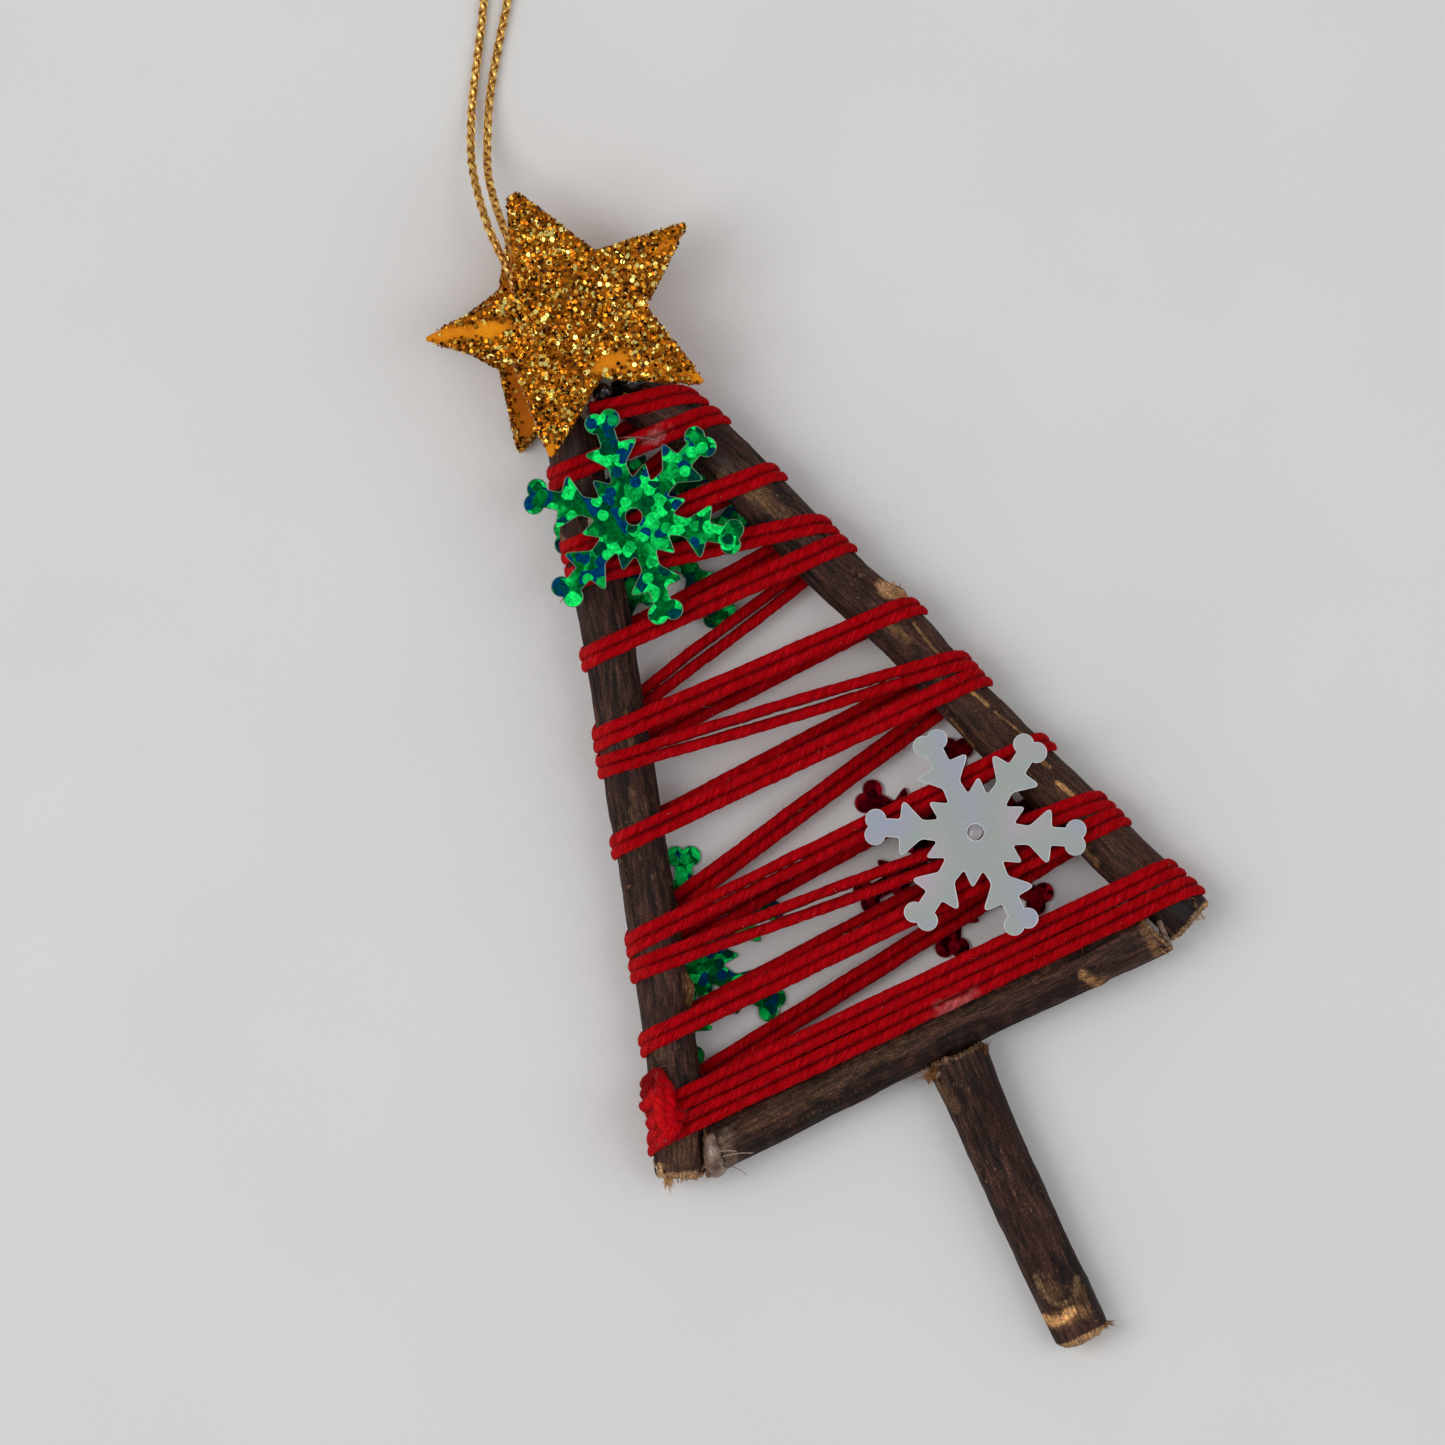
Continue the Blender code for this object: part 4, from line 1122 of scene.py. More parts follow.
def strand_tint(rings, lobe, lumps, values, side=0, smears=()):
    """Yarn colour: painted shade between the plies and between the two strands, bright on the
    plies, painted light on the yarn left of the left leg's middle, the side the lamp on the
    left falls on, and whitish where glue dried on it.
    """
    bright, deep = np.array(values.bright), np.array(values.deep)
    # Painted shade: the colour darkens towards the deep shade in the grooves between the plies.
    colour = blend(deep, bright, 0.68 + 0.32 * ease(0.0, 0.6, lobe + 0.5 * lumps))
    turn = np.arange(rings.shape[1]) * 2 * math.pi / rings.shape[1]
    # Painted shade: each strand darkens on the flank that faces the other strand.
    inner = ease(0.3, 0.95, -side * np.cos(turn))
    colour = blend(colour, deep * 0.5, np.broadcast_to(0.7 * inner, lobe.shape))
    # Painted light: the yarn left of the left leg's middle, where the lamp on the left falls, is
    # painted lighter and pinker.
    edge = np.interp(rings[..., 1], LEFT_LINE[:, 1], LEFT_LINE[:, 0])
    painted_left_light = ease(0.3, 2.8, edge - rings[..., 0]) * (0.4 + 0.6 * lobe)
    colour = blend(colour, paint(224, 40, 40), 0.5 * painted_left_light)
    for x, y, half_x, half_y, amount in smears:
        away = (rings[..., :2] - (x, y)) / (half_x, half_y)
        mask = amount * ease(0.3, 0.7, np.exp(-(away ** 2).sum(axis=-1)) + 0.3 * lumps)
        mask = mask * (rings[..., 2] > twig_height(rings[..., 1]))
        colour = blend(colour, paint(196, 120, 118), mask)
    return colour


def fuzz(name, rings_list, count, values, seed):
    """Loose fibres that stand off the strands: they start on the surface, lean out and along,
    and curl as the square of the distance.
    """
    rng = np.random.default_rng(seed)
    bases, outs, ways = [], [], []
    for rings in rings_list:
        n = count // len(rings_list)
        row = rng.integers(1, len(rings) - 1, n)
        column = rng.integers(0, rings.shape[1], n)
        at = rings[row, column]
        bases.append(at)
        outs.append(unit(at - rings[row].mean(axis=1)))
        ways.append(unit(rings[row + 1, column] - rings[row - 1, column]))
    base, out, way = np.vstack(bases), np.vstack(outs), np.vstack(ways)
    keep = base[:, 2] > 0.3
    base, out, way = base[keep], out[keep], way[keep]
    n = len(base)
    side = np.cross(out, way)
    steps = np.linspace(0.0, 1.0, 3)
    reach = rng.gamma(2.2, 0.16, n).clip(0.12, 1.2)
    lean = rng.uniform(0.25, 1.0, (n, 1)) * out + rng.normal(0.0, 0.75, (n, 1)) * way
    lean = unit(lean + rng.normal(0.0, 0.35, (n, 1)) * side)
    curl = rng.normal(0.0, 0.4, (n, 1)) * way + rng.normal(0.0, 0.4, (n, 1)) * side - 0.25 * out
    paths = (base[:, None] + lean[:, None] * (reach[:, None] * steps)[..., None]
             + curl[:, None] * (reach[:, None] * steps ** 2)[..., None])
    paths[..., 2] = paths[..., 2].clip(0.05)
    radii = FIBRE_R * rng.uniform(0.7, 1.25, (n, 1)) * (1.0 - 0.55 * steps)
    points, faces = bundle(paths, radii, 3)
    bright = np.array(values.bright)
    tone = bright * rng.uniform(0.7, 1.5, (n, 1)) + rng.uniform(0.0, 0.05, (n, 1))
    pale = rng.random(n) < 0.02
    tone[pale] = paint(214, 170, 168)
    return piece(name, points, faces, [fibre_finish("yarn_fuzz", 0.75)], "yarn",
                 tint=np.repeat(tone, len(points) // n, axis=0).clip(0.0, 1.0))


class YarnSettings(bpy.types.PropertyGroup):
    bright: colour_setting("Bright", "Colour of the yarn's plies", paint(184, 2, 14))
    # Deep is the colour of the painted shade between the plies and between the two strands.
    deep: colour_setting("Deep", "Colour between the plies", paint(112, 0, 8))
    pitch: length_setting("Twist", "Length in which a ply goes round once", 3.3)
    step: length_setting("Step", "Distance between rings", 0.2)
    fibres: IntProperty(name="Loose fibres", description="Number of fibres standing off",
                        default=12000, min=0)


class ORNAMENT_OT_yarn(bpy.types.Operator):
    """Wind the two plied strands round the legs, and tie the knot"""
    bl_idname = "ornament.yarn"
    bl_label = "Yarn"

    def execute(self, context):
        values = context.scene.ornament_yarn
        finish = yarn_finish()
        winding, facing = yarn_route()
        route, normals, s = even_route(winding, facing, values.step / MM)
        apart, squash = strand_spacing(winding, s)
        smears = ((3.2, -25.4, 2.6, 0.9, 0.5), (2.6, 33.0, 1.3, 0.8, 0.6),
                  (-3.2, 20.3, 1.0, 0.7, 0.4))
        all_rings = []
        for name, side, phase in (("red_yarn_upper", 1, 0.0), ("red_yarn_lower", -1, 1.1)):
            rings, grain, lobe, lumps = strand(route, normals, s, side * apart, YARN_R,
                                               values.pitch / MM, phase, 60 + side, squash)
            tint = strand_tint(rings, lobe, lumps, values, side, smears)
            piece(name, *shell(rings), [finish], "yarn", ["red_yarn"], poles(tint), poles(grain))
            all_rings.append(rings)

        reach = LEFT_LEG_D / 2 + YARN_OFF_BARK + YARN_R * 0.9
        station = leg_station(LEFT_LINE, reach, -1, KNOT_Y)
        way = np.array([1.0, -0.05, 0.0])
        points, normal = wrap(station, reach, -way, way, True, 12)
        points, normal = points[6:-2], normal[6:-2]
        centre = station[0]
        top = twig_height(centre[1]) + LEG_R + YARN_OFF_BARK + 3 * YARN_R
        over = centre + np.array(KNOT_OVER)
        over[:, 2] = (top + 0.1, top + 0.25, top)
        points = smooth_route(np.vstack([points[::2], over]), 60)
        normal = resampled(normal, np.linspace(0, 1, len(normal)), np.linspace(0, 1, 60))
        normal[30:] = (0.0, 0.0, 1.0)
        route, normals, s = even_route(points, unit(normal), 0.12)
        knot = [(route, normals, s, side * 0.5, YARN_R * 1.06) for side in (1, -1)]
        middle = np.array([-24.5, -22.0, top - 0.3])
        t = np.linspace(-1.0, 1.0, 30)
        for k, (x, y, heading) in enumerate(KNOT_LUMPS):
            turn = math.radians(heading)
            path = middle + np.column_stack([x + 1.35 * t * math.cos(turn) - 0.3 * t ** 2,
                                             y + 1.35 * t * math.sin(turn),
                                             0.15 * (k % 3) + 0.75 * (1 - t ** 2) - 0.5])
            path, up, run = even_route(path, np.tile([0.0, 0.0, 1.0], (30, 1)), 0.12)
            knot.append((path, up, run, 0.0, YARN_R * 1.1))
        parts, tints, grains = [], [], []
        for k, (path, up, run, offset, radius) in enumerate(knot):
            rings, grain, lobe, lumps = strand(path, up, run, offset + 0 * run, radius, 2.4, k,
                                               80 + 9 * k)
            parts.append(shell(rings))
            tint = strand_tint(rings, lobe, lumps, values)
            # Painted light and shade: the knot's strands are painted darker low down and lighter on
            # top.
            height = ease(top - 1.1, top + 0.9, rings[..., 2])[..., None]
            tints.append(poles(tint * (0.45 + 0.85 * height)))
            grains.append(poles(grain))
            all_rings.append(rings)
        points, faces = join(parts)
        piece("yarn_knot_strands", points, faces, [finish], "yarn", ["yarn_knot"],
              np.vstack(tints), np.vstack(grains))
        fuzz("yarn_fuzz", all_rings[:2], values.fibres, values, 5)
        fuzz("yarn_knot_fuzz", all_rings[2:], KNOT_FIBRES, values, 6)
        return {"FINISHED"}


# ---- stars ---------------------------------------------------------------------------------

OUTLINE_STEP = 0.16
EDGE_FLAKES = 1500
BACK_FLAKES = 3600
BACK_EDGE_FLAKES = 2600
BACK_RIM_FLAKES = 900


def star_outline(radius, corners, centre, first_tip=0.16):
    """Star outline from its tips and valleys, evenly resampled; its first tip may be blunter.

    The valleys lie a little inside the CAD star's, because the glitter stands out over them.
    """
    turn, share = [], []
    for k, ((tip, reach), (valley, depth)) in enumerate(corners):
        blunt = (0.16 if k else first_tip) / radius
        turn += [math.radians(tip) - blunt, math.radians(tip) + blunt, math.radians(valley)]
        share += [reach - 0.006, reach - 0.006, depth - 0.022]
    turn, share = np.array(turn), radius * np.array(share)
    flat = np.column_stack([share * np.cos(turn), share * np.sin(turn)])
    loop = np.vstack([flat, flat[:1]])
    run = run_of(loop)
    at = np.linspace(0.0, run[-1], int(run[-1] / OUTLINE_STEP), endpoint=False)
    return resampled(loop, run, at) + centre


def foam_star(name, outline, centre, low, node, base, under, bare, finish, seed):
    """A foam star: its outline drawn in towards the centre on both faces, with soft edges.

    A ring is centre + (outline - centre) x share, then moved in by the edge's rounding. The
    foam is darker under the glitter than in its bare places.
    """
    share = np.concatenate([np.linspace(0.04, 0.96, 22), [1.0, 1.0, 1.0, 1.0],
                            np.linspace(0.96, 0.04, 22)])
    level = np.concatenate([np.zeros(22), [0.06, 0.3, FOAM_T - 0.3, FOAM_T - 0.06],
                            np.full(22, FOAM_T)])
    inset = np.concatenate([np.full(22, 0.1), [0.09, 0.0, 0.0, 0.09], np.full(22, 0.1)])
    normal = outline_normals(outline)
    u = np.arange(len(outline)) / len(outline)
    frayed = 0.06 * rough_noise(u, 0 * u, len(outline) / 5, 1, seed)
    away = outline + normal * frayed[:, None] - np.array(centre)
    flat = (np.array(centre) + away[None] * share[:, None, None]
            - normal[None] * (inset * share ** 8)[:, None, None])
    v = np.broadcast_to(share[:, None], flat.shape[:2])
    dent = 0.05 * rough_noise(np.broadcast_to(u, v.shape), v, 30, 8, seed + 1)
    z = low + level[:, None] + dent * np.where(level > FOAM_T / 2, 1.0, -1.0)[:, None] * (v < 1)
    rings = np.dstack([flat, z])
    hidden = covered(rings[..., :2].reshape(-1, 2), bare).reshape(rings.shape[:2])
    hidden = hidden * (level > FOAM_T / 2)[:, None]
    tint = blend(np.array(base), np.array(under), hidden)
    return piece(name, *shell(rings), [finish], "glitter_foam", [node], poles(tint),
                 sharp=40.0)


# Painted glints and reflections: the pale bright flakes are painted glints and the near-black ones
# painted dark reflections; the shades between vary the gold.
GLITTER_COLOURS_AND_GLINTS = ((0.075, (255, 236, 130), 1.08), (0.07, (244, 190, 64), 1.0),
                  (0.2, (186, 122, 22), 0.9), (0.3, (158, 88, 8), 0.85),
                  (0.2, (206, 116, 10), 0.85), (0.17, (60, 33, 8), 0.85))


def flakes(centres, normals, sizes, tones):
    """Thin six-sided plates: each is turned to its own normal, and has two faces and a rim."""
    n = len(centres)
    start = np.where(np.abs(normals[:, 2:]) < 0.9, [[0.0, 0.0, 1.0]], [[1.0, 0.0, 0.0]])
    across = unit(np.cross(normals, start))
    up = np.cross(normals, across)
    turn = np.arange(6) * math.pi / 3
    ring = circle(across, up, turn) * sizes[:, None, None]
    half = 0.016 * normals[:, None]
    points = np.concatenate([centres[:, None] + ring - half, centres[:, None] + ring + half],
                            axis=1)
    base = (np.arange(n) * 12)[:, None]
    j = np.arange(6)
    k = (j + 1) % 6
    walls = (np.stack([j, k, k + 6, j + 6], axis=-1)[None] + base[..., None]).reshape(-1, 4)
    faces = np.vstack([base + j[::-1], base + j + 6])
    return points.reshape(-1, 3), [walls, faces], np.repeat(tones, 12, axis=0)


def tones_for(rng, count):
    """A shade and a size for each flake, picked by weight; the brightest shade is painted glints
    and the darkest painted dark reflections, and the bright ones are less metallic.
    """
    weights = np.array([share for share, shade, size in GLITTER_COLOURS_AND_GLINTS])
    shades = np.array([paint(*shade) for share, shade, size in GLITTER_COLOURS_AND_GLINTS])
    scale = np.array([size for share, shade, size in GLITTER_COLOURS_AND_GLINTS])
    pick = rng.choice(len(weights), count, p=weights / weights.sum())
    tones = shades[pick] * rng.uniform(0.7, 1.1, (count, 1))
    return np.column_stack([tones, np.where(pick < 2, 0.6, 0.9)]), scale[pick]


def tilted(rng, normal, count, wide):
    """Normals scattered about one direction, most by little and some by much."""
    spread = np.where(rng.random(count) < wide, 0.75, 0.2)[:, None]
    return unit(normal + rng.normal(0.0, 1.0, (count, 3)) * spread)


def covered(spots, bare):
    """Chance that a flake stays, low inside each bare oval: 1 - amount x exp(-r^4)."""
    chance = np.ones(len(spots))
    for x, y, half_length, half_width, heading, amount in bare:
        turn = math.radians(heading)
        away = spots - (x, y)
        down = (away @ (math.cos(turn), math.sin(turn))) / half_length
        side = (away @ (-math.sin(turn), math.cos(turn))) / half_width
        chance = np.minimum(chance, 1 - amount * np.exp(-(down ** 2 + side ** 2) ** 2))
    return chance


def glitter(name, outline, level, way, bare, count, edge_count, edge_low, finish, values,
            seed):
    """Glitter on one face of a star and round its edge.

    Flakes are dropped at random inside the outline and thinned out over the bare places, each
    (x, y, half length, half width, heading, how bare); the edge's flakes follow the outline.
    """
    rng = np.random.default_rng(seed)
    low, high = outline.min(axis=0), outline.max(axis=0)
    spots = rng.uniform(low, high, (int(count * 3.2), 2))
    spots = spots[inside(spots, outline)][:count]
    spots = spots[rng.random(len(spots)) < covered(spots, bare)]
    n = len(spots)
    big = rng.random(n) < 0.62
    sizes = np.where(big, values.flake / MM / 2, values.flake / MM / 3.4)
    sizes = sizes * rng.uniform(0.85, 1.12, n)
    normals = tilted(rng, (0.0, 0.0, way), n, 0.3)
    lift = 0.03 + rng.uniform(0.0, 0.22, n) + sizes * np.sqrt(1 - normals[:, 2] ** 2) * 0.6
    centres = np.column_stack([spots, level + way * lift])
    out = outline_normals(outline)
    pick = rng.integers(0, len(outline), edge_count)
    pick = pick[rng.random(edge_count) < covered(outline[pick], bare)]
    edge_count = len(pick)
    depth = edge_low + FOAM_T * rng.beta(2.2, 1.0, edge_count) * 1.05
    if way < 0:
        depth = edge_low + FOAM_T * (1 - rng.beta(1.6, 1.3, edge_count))
    rim_out = 0.02 + rng.uniform(0.0, 0.13, edge_count)
    rim = np.column_stack([outline[pick] + out[pick] * rim_out[:, None], depth])
    rim_normal = unit(np.column_stack([out[pick], np.zeros(edge_count)])
                      + rng.normal(0.0, 0.5, (edge_count, 3)))
    rim_size = values.flake / MM / 2 * rng.uniform(0.6, 1.05, edge_count)
    centres = np.vstack([centres, rim])
    centres[:, 2] = np.maximum(centres[:, 2], 0.22)
    tones, scale = tones_for(rng, n + edge_count)
    points, faces, tint = flakes(centres, np.vstack([normals, rim_normal]),
                                 np.concatenate([sizes, rim_size]) * scale, tones)
    points[:, 2] = np.maximum(points[:, 2], 0.0)
    return piece(name, points, faces, [finish], "glitter_foam", tint=tint, smooth=False)


class StarSettings(bpy.types.PropertyGroup):
    foam: colour_setting("Foam", "Colour of the bare foam", paint(244, 152, 18))
    under: colour_setting("Glittered foam", "Foam seen between the flakes", paint(172, 94, 10))
    # Painted shade: the back star's foam is darker than the front star's bare foam, for the shade
    # under the front star.
    painted_shade_back_foam: colour_setting("Back foam", "Colour of the back star's foam", paint(176, 92, 10))
    flake: length_setting("Flake", "Width of a glitter flake", 0.44)
    flakes: IntProperty(name="Flakes", description="Flakes on the front star's face",
                        default=6400, min=0)


class ORNAMENT_OT_stars(bpy.types.Operator):
    """Cut the two foam stars and scatter their glitter"""
    bl_idname = "ornament.stars"
    bl_label = "Stars"

    def execute(self, context):
        values = context.scene.ornament_stars
        foam, metal = foam_finish(), glitter_finish()
        front_low = front_height(FIRST_PASS_START[1]) + GAP
        front = star_outline(FRONT_STAR_R, FRONT_STAR_CORNERS, FRONT_STAR_CENTRE, 0.5)
        back = star_outline(BACK_STAR_R, BACK_STAR_CORNERS, BACK_STAR_CENTRE)
        bare = ((-6.6, 48.4, 2.4, 1.05, 163.0, 1.0), (-8.6, 49.2, 2.0, 0.75, 163.0, 1.0),
                (-11.1, 50.1, 2.2, 0.8, 163.0, 0.96),
                (11.3, 48.1, 1.7, 0.6, 15.0, 0.97), (12.6, 49.0, 1.0, 0.5, 15.0, 0.5),
                (1.9, 40.8, 2.2, 0.85, 0.0, 1.0), (3.2, 39.6, 1.2, 0.7, 130.0, 0.85),
                (5.9, 38.0, 3.2, 1.1, 143.0, 0.45), (8.6, 35.9, 1.2, 0.9, 126.0, 0.93),
                (-6.8, 35.9, 1.4, 0.9, 53.0, 0.95), (0.6, 39.2, 0.6, 0.6, 0.0, 0.95))
        foam_star("star_front_foam", front, FRONT_STAR_CENTRE, front_low, "star_front",
                  values.foam, values.under, bare, foam, 3)
        foam_star("star_back_foam", back, BACK_STAR_CENTRE, 0.0, "star_back", values.painted_shade_back_foam,
                  values.painted_shade_back_foam, (), foam, 4)
        glitter("star_front_glitter", front, front_low + FOAM_T, 1, bare, values.flakes,
                EDGE_FLAKES, front_low, metal, values, 17)
        glitter("star_back_glitter", back, 0.0, -1, (), BACK_FLAKES, BACK_EDGE_FLAKES, 0.0,
                metal, values, 19)
        rng = np.random.default_rng(29)
        n = BACK_RIM_FLAKES
        rim = rng.integers(0, len(back), n)
        inward = 1 - rng.gamma(1.2, 0.035, n).clip(0.0, 0.35)
        drawn = BACK_STAR_CENTRE + (back[rim] - BACK_STAR_CENTRE) * inward[:, None]
        tones, scale = tones_for(rng, n)
        centres = np.column_stack([drawn, FOAM_T + 0.05 + rng.uniform(0.0, 0.2, n)])
        normals = tilted(rng, (0.0, 0.0, 1.0), n, 0.6)
        sizes = values.flake / MM / 2 * rng.uniform(0.6, 1.05, n) * scale
        # Painted shade: the back star's rim flakes are darkened to 0.8, for the shade under the
        # front star.
        points, faces, tint = flakes(centres, normals, sizes, tones * (0.8, 0.8, 0.8, 1.0))
        piece("star_back_rim_glitter", points, faces, [metal], "glitter_foam", tint=tint,
              smooth=False)
        return {"FINISHED"}


# ---- sequins -------------------------------------------------------------------------------

RIM_WIDTH = 0.08
COLLAR_WIDTH = 0.07
HOLE_SIDES = 36


def half_arm():
    """Half of a snowflake arm from its root outwards: corners (x, y) and their rounding."""
    lobe = np.radians(np.linspace(171.0, -46.8, 14))
    corners = [(3.45, 1.0, 0.35), (4.85, 0.85, 0.35), (6.8, 2.75, 0.85), (6.9, 0.85, 0.25)]
    corners += [(9.1 + 0.96 * math.cos(a), 0.7 + 0.96 * math.sin(a), 0.0) for a in lobe]
    return np.array(corners)


def flake_outline(turn, missing):
    """A snowflake's outline: corners rounded by curves P(t) = (1-t)^2 A + 2t(1-t) B + t^2 C.

    Also the places of the six short teeth between the arms.
    """
    corners = []
    half = half_arm()
    x, y, cut = np.vstack([half * (1, -1, 1), half[::-1]]).T
    for k in range(6):
        arm = math.radians(turn + 60 * k)
        tooth = arm - math.radians(30)
        corners.append([(5.15 * math.cos(tooth), 5.15 * math.sin(tooth), 0.55)])
        if k not in missing:
            corners.append(np.column_stack([x * math.cos(arm) - y * math.sin(arm),
                                            x * math.sin(arm) + y * math.cos(arm), cut]))
    corners = np.vstack(corners)
    at = corners[:, :2]
    a, c = (at + way * np.minimum(corners[:, 2:] / np.linalg.norm(way, axis=1, keepdims=True),
                                  0.48)
            for way in (np.roll(at, 1, axis=0) - at, np.roll(at, -1, axis=0) - at))
    t = np.linspace(0.0, 1.0, 7)[None, :, None]
    curve = (1 - t) ** 2 * a[:, None] + 2 * t * (1 - t) * at[:, None] + t ** 2 * c[:, None]
    flat = curve.reshape(-1, 2)
    keep = np.linalg.norm(flat - np.roll(flat, 1, axis=0), axis=1) > 1e-4
    flat = flat[keep]
    teeth = [np.array([math.cos(math.radians(turn + 60 * k - 30)),
                       math.sin(math.radians(turn + 60 * k - 30))]) * 4.93 for k in range(6)]
    marks = [int(np.argmin(((flat - tooth) ** 2).sum(axis=1))) for tooth in teeth]
    return flat, marks


def rim_width(flat, width):
    """Width of the rim band at each point: less than the outline's radius at sharp corners.

    The radius is the length between neighbours over the angle that the outline turns there.
    """
    ahead = np.roll(flat, -1, axis=0) - flat
    behind = flat - np.roll(flat, 1, axis=0)
    turn = np.arctan2(behind[:, 0] * ahead[:, 1] - behind[:, 1] * ahead[:, 0],
                      (behind * ahead).sum(axis=1))
    length = (np.linalg.norm(ahead, axis=1) + np.linalg.norm(behind, axis=1)) / 2
    limit = np.where(turn > 0.02, 0.7 * length / np.maximum(turn, 0.02), width)
    limit = np.minimum.reduce([np.roll(limit, k) for k in range(-3, 4)])
    return np.minimum(limit, width)


def sequin(name, centre, turn, missing, low, thickness, film, rim, slot):
    """A snowflake sequin: a bevelled rim band round a flat face, and a hole with its wall."""
    flat, marks = flake_outline(turn, missing)
    n = len(flat)
    normal = outline_normals(flat)
    width = rim_width(flat, RIM_WIDTH)[:, None]
    rows = [(0.25, 0.0), (0.0, 0.03), (0.0, thickness - 0.04), (0.25, thickness),
            (1.0, thickness - 0.012)]
    rings = np.array([np.column_stack([flat - normal * width * share, np.full(n, level)])
                      for share, level in rows])
    angle = math.radians(turn - 30) + np.arange(HOLE_SIDES) * 2 * math.pi / HOLE_SIDES
    hole = SEQUIN_HOLE_D / 2
    hole_rows = [(hole + COLLAR_WIDTH, thickness - 0.01), (hole, thickness - 0.012), (hole, 0.0)]
    hole_rings = [np.column_stack([r * np.cos(angle), r * np.sin(angle),
                                   np.full(HOLE_SIDES, level)]) for r, level in hole_rows]
    points = np.vstack([rings.reshape(-1, 3), *hole_rings])
    first_hole = len(rows) * n
    faces = [grid_faces(len(rows), n), grid_faces(len(hole_rows), HOLE_SIDES) + first_hole]
    picks = [np.ones(len(faces[0]), int), np.ones(len(faces[1]), int)]
    step = HOLE_SIDES // 6
    for top in (True, False):
        base = (len(rows) - 1) * n if top else 0
        ring = first_hole if top else first_hole + 2 * HOLE_SIDES
        for k in range(6):
            stop = marks[(k + 1) % 6]
            outer = np.arange(marks[k], stop + 1 if stop > marks[k] else stop + n + 1) % n + base
            inner = ring + np.arange((k + 1) * step, k * step - 1, -1) % HOLE_SIDES
            face = np.concatenate([outer, inner])
            faces.append((face if top else face[::-1])[None])
            picks.append(np.zeros(1, int))
    points = points + (*centre, low)
    return piece(name, points, faces, [film, rim], slot, [name.replace("_film", "")],
                 smooth=False, picks=np.concatenate(picks))


class SequinSettings(bpy.types.PropertyGroup):
    bright: colour_setting("Bright green", "Green film's brightest spots", paint(18, 206, 92))
    green: colour_setting("Green", "Green film", paint(0, 92, 34))
    deep: colour_setting("Deep green", "Green film's darkest spots", paint(0, 56, 36))
    blue: colour_setting("Blue", "Green film's blue spots", paint(0, 52, 90))
    pearl: colour_setting("Pearl", "Pearl film", paint(150, 155, 172))
    spot: length_setting("Spot", "Width of a spot in the films", 1.35)
    thickness: length_setting("Thickness", "Thickness of a sequin", 0.2)


class ORNAMENT_OT_sequins(bpy.types.Operator):
    """Cut the five snowflake sequins from their films"""
    bl_idname = "ornament.sequins"
    bl_label = "Sequins"

    def execute(self, context):
        values = context.scene.ornament_sequins
        stops = tuple((place, tuple(shade)) for place, shade in (
            (0.2, values.blue), (0.36, values.deep), (0.52, values.green), (0.8, values.bright)))
        green = hologram_finish("sequin_green", stops, values.spot / MM)
        # Partly the red film's own dark red, partly painted shade: the red film lies behind the
        # tree and is darkened further for it.
        reds_with_painted_shade = ((0.25, paint(24, 0, 4)), (0.5, paint(58, 0, 8)), (0.85, paint(108, 4, 18)))
        # Painted shade: the green film behind the tree is a copy of the front one at 0.55 of its
        # brightness.
        painted_shade_stops = [(place, tuple(0.55 * np.array(shade))) for place, shade in stops]
        behind = hologram_finish("sequin_green_painted_shade", painted_shade_stops, values.spot / MM)
        red = hologram_finish("sequin_red", reds_with_painted_shade, values.spot / MM)
        pearl = pearl_finish(values.pearl)
        pale = rim_finish("sequin_rim_pale", paint(214, 220, 222))
        mint = rim_finish("sequin_rim_green", paint(78, 124, 84))
        films = {"sequin_front_pearl": (pearl, pale, "sequin_pearl"),
                 "sequin_back_red": (red, rim_finish("sequin_rim_red", paint(150, 60, 60)),
                                     "sequin_red")}
        for name, centre, turn, missing in FRONT_SEQUINS + BACK_SEQUINS:
            in_front = "front" in name
            # Behind the tree the green sequins take the painted-shade copy of the green film.
            film, rim, slot = films.get(name, (green if in_front else behind, mint,
                                               "sequin_green"))
            sequin(name + "_film", centre, turn, missing, sequin_height(centre, in_front),
                   values.thickness / MM, film, rim, slot)
        return {"FINISHED"}


# ---- glue ----------------------------------------------------------------------------------

GLUE_REACH = 7.0  # a sequin is glued to a leg when its centre is this near


def blob(x, y, z, half_x, half_y, half_z, heading, seed):
    """A lump: a sphere scaled along three axes, turned about z, its radius varied by noise."""
    rows, columns = 18, 32
    rise = np.linspace(-math.pi / 2, math.pi / 2, rows + 2)[1:-1]
    turn = np.arange(columns) * 2 * math.pi / columns
    u, v = np.meshgrid(turn / (2 * math.pi), np.linspace(0.0, 1.0, rows))
    size = 1 + 0.22 * rough_noise(u, v, 5, 4, seed, 2) * np.cos(rise)[:, None]
    x0 = half_x * size * np.cos(rise)[:, None] * np.cos(turn)
    y0 = half_y * size * np.cos(rise)[:, None] * np.sin(turn)
    z0 = half_z * size * np.sin(rise)[:, None]
    c, s = math.cos(math.radians(heading)), math.sin(math.radians(heading))
    return shell(np.dstack([x + c * x0 - s * y0, y + s * x0 + c * y0, z + z0]))


class GlueSettings(bpy.types.PropertyGroup):
    thread: length_setting("Thread", "Width of a drawn-out glue thread", 0.13)


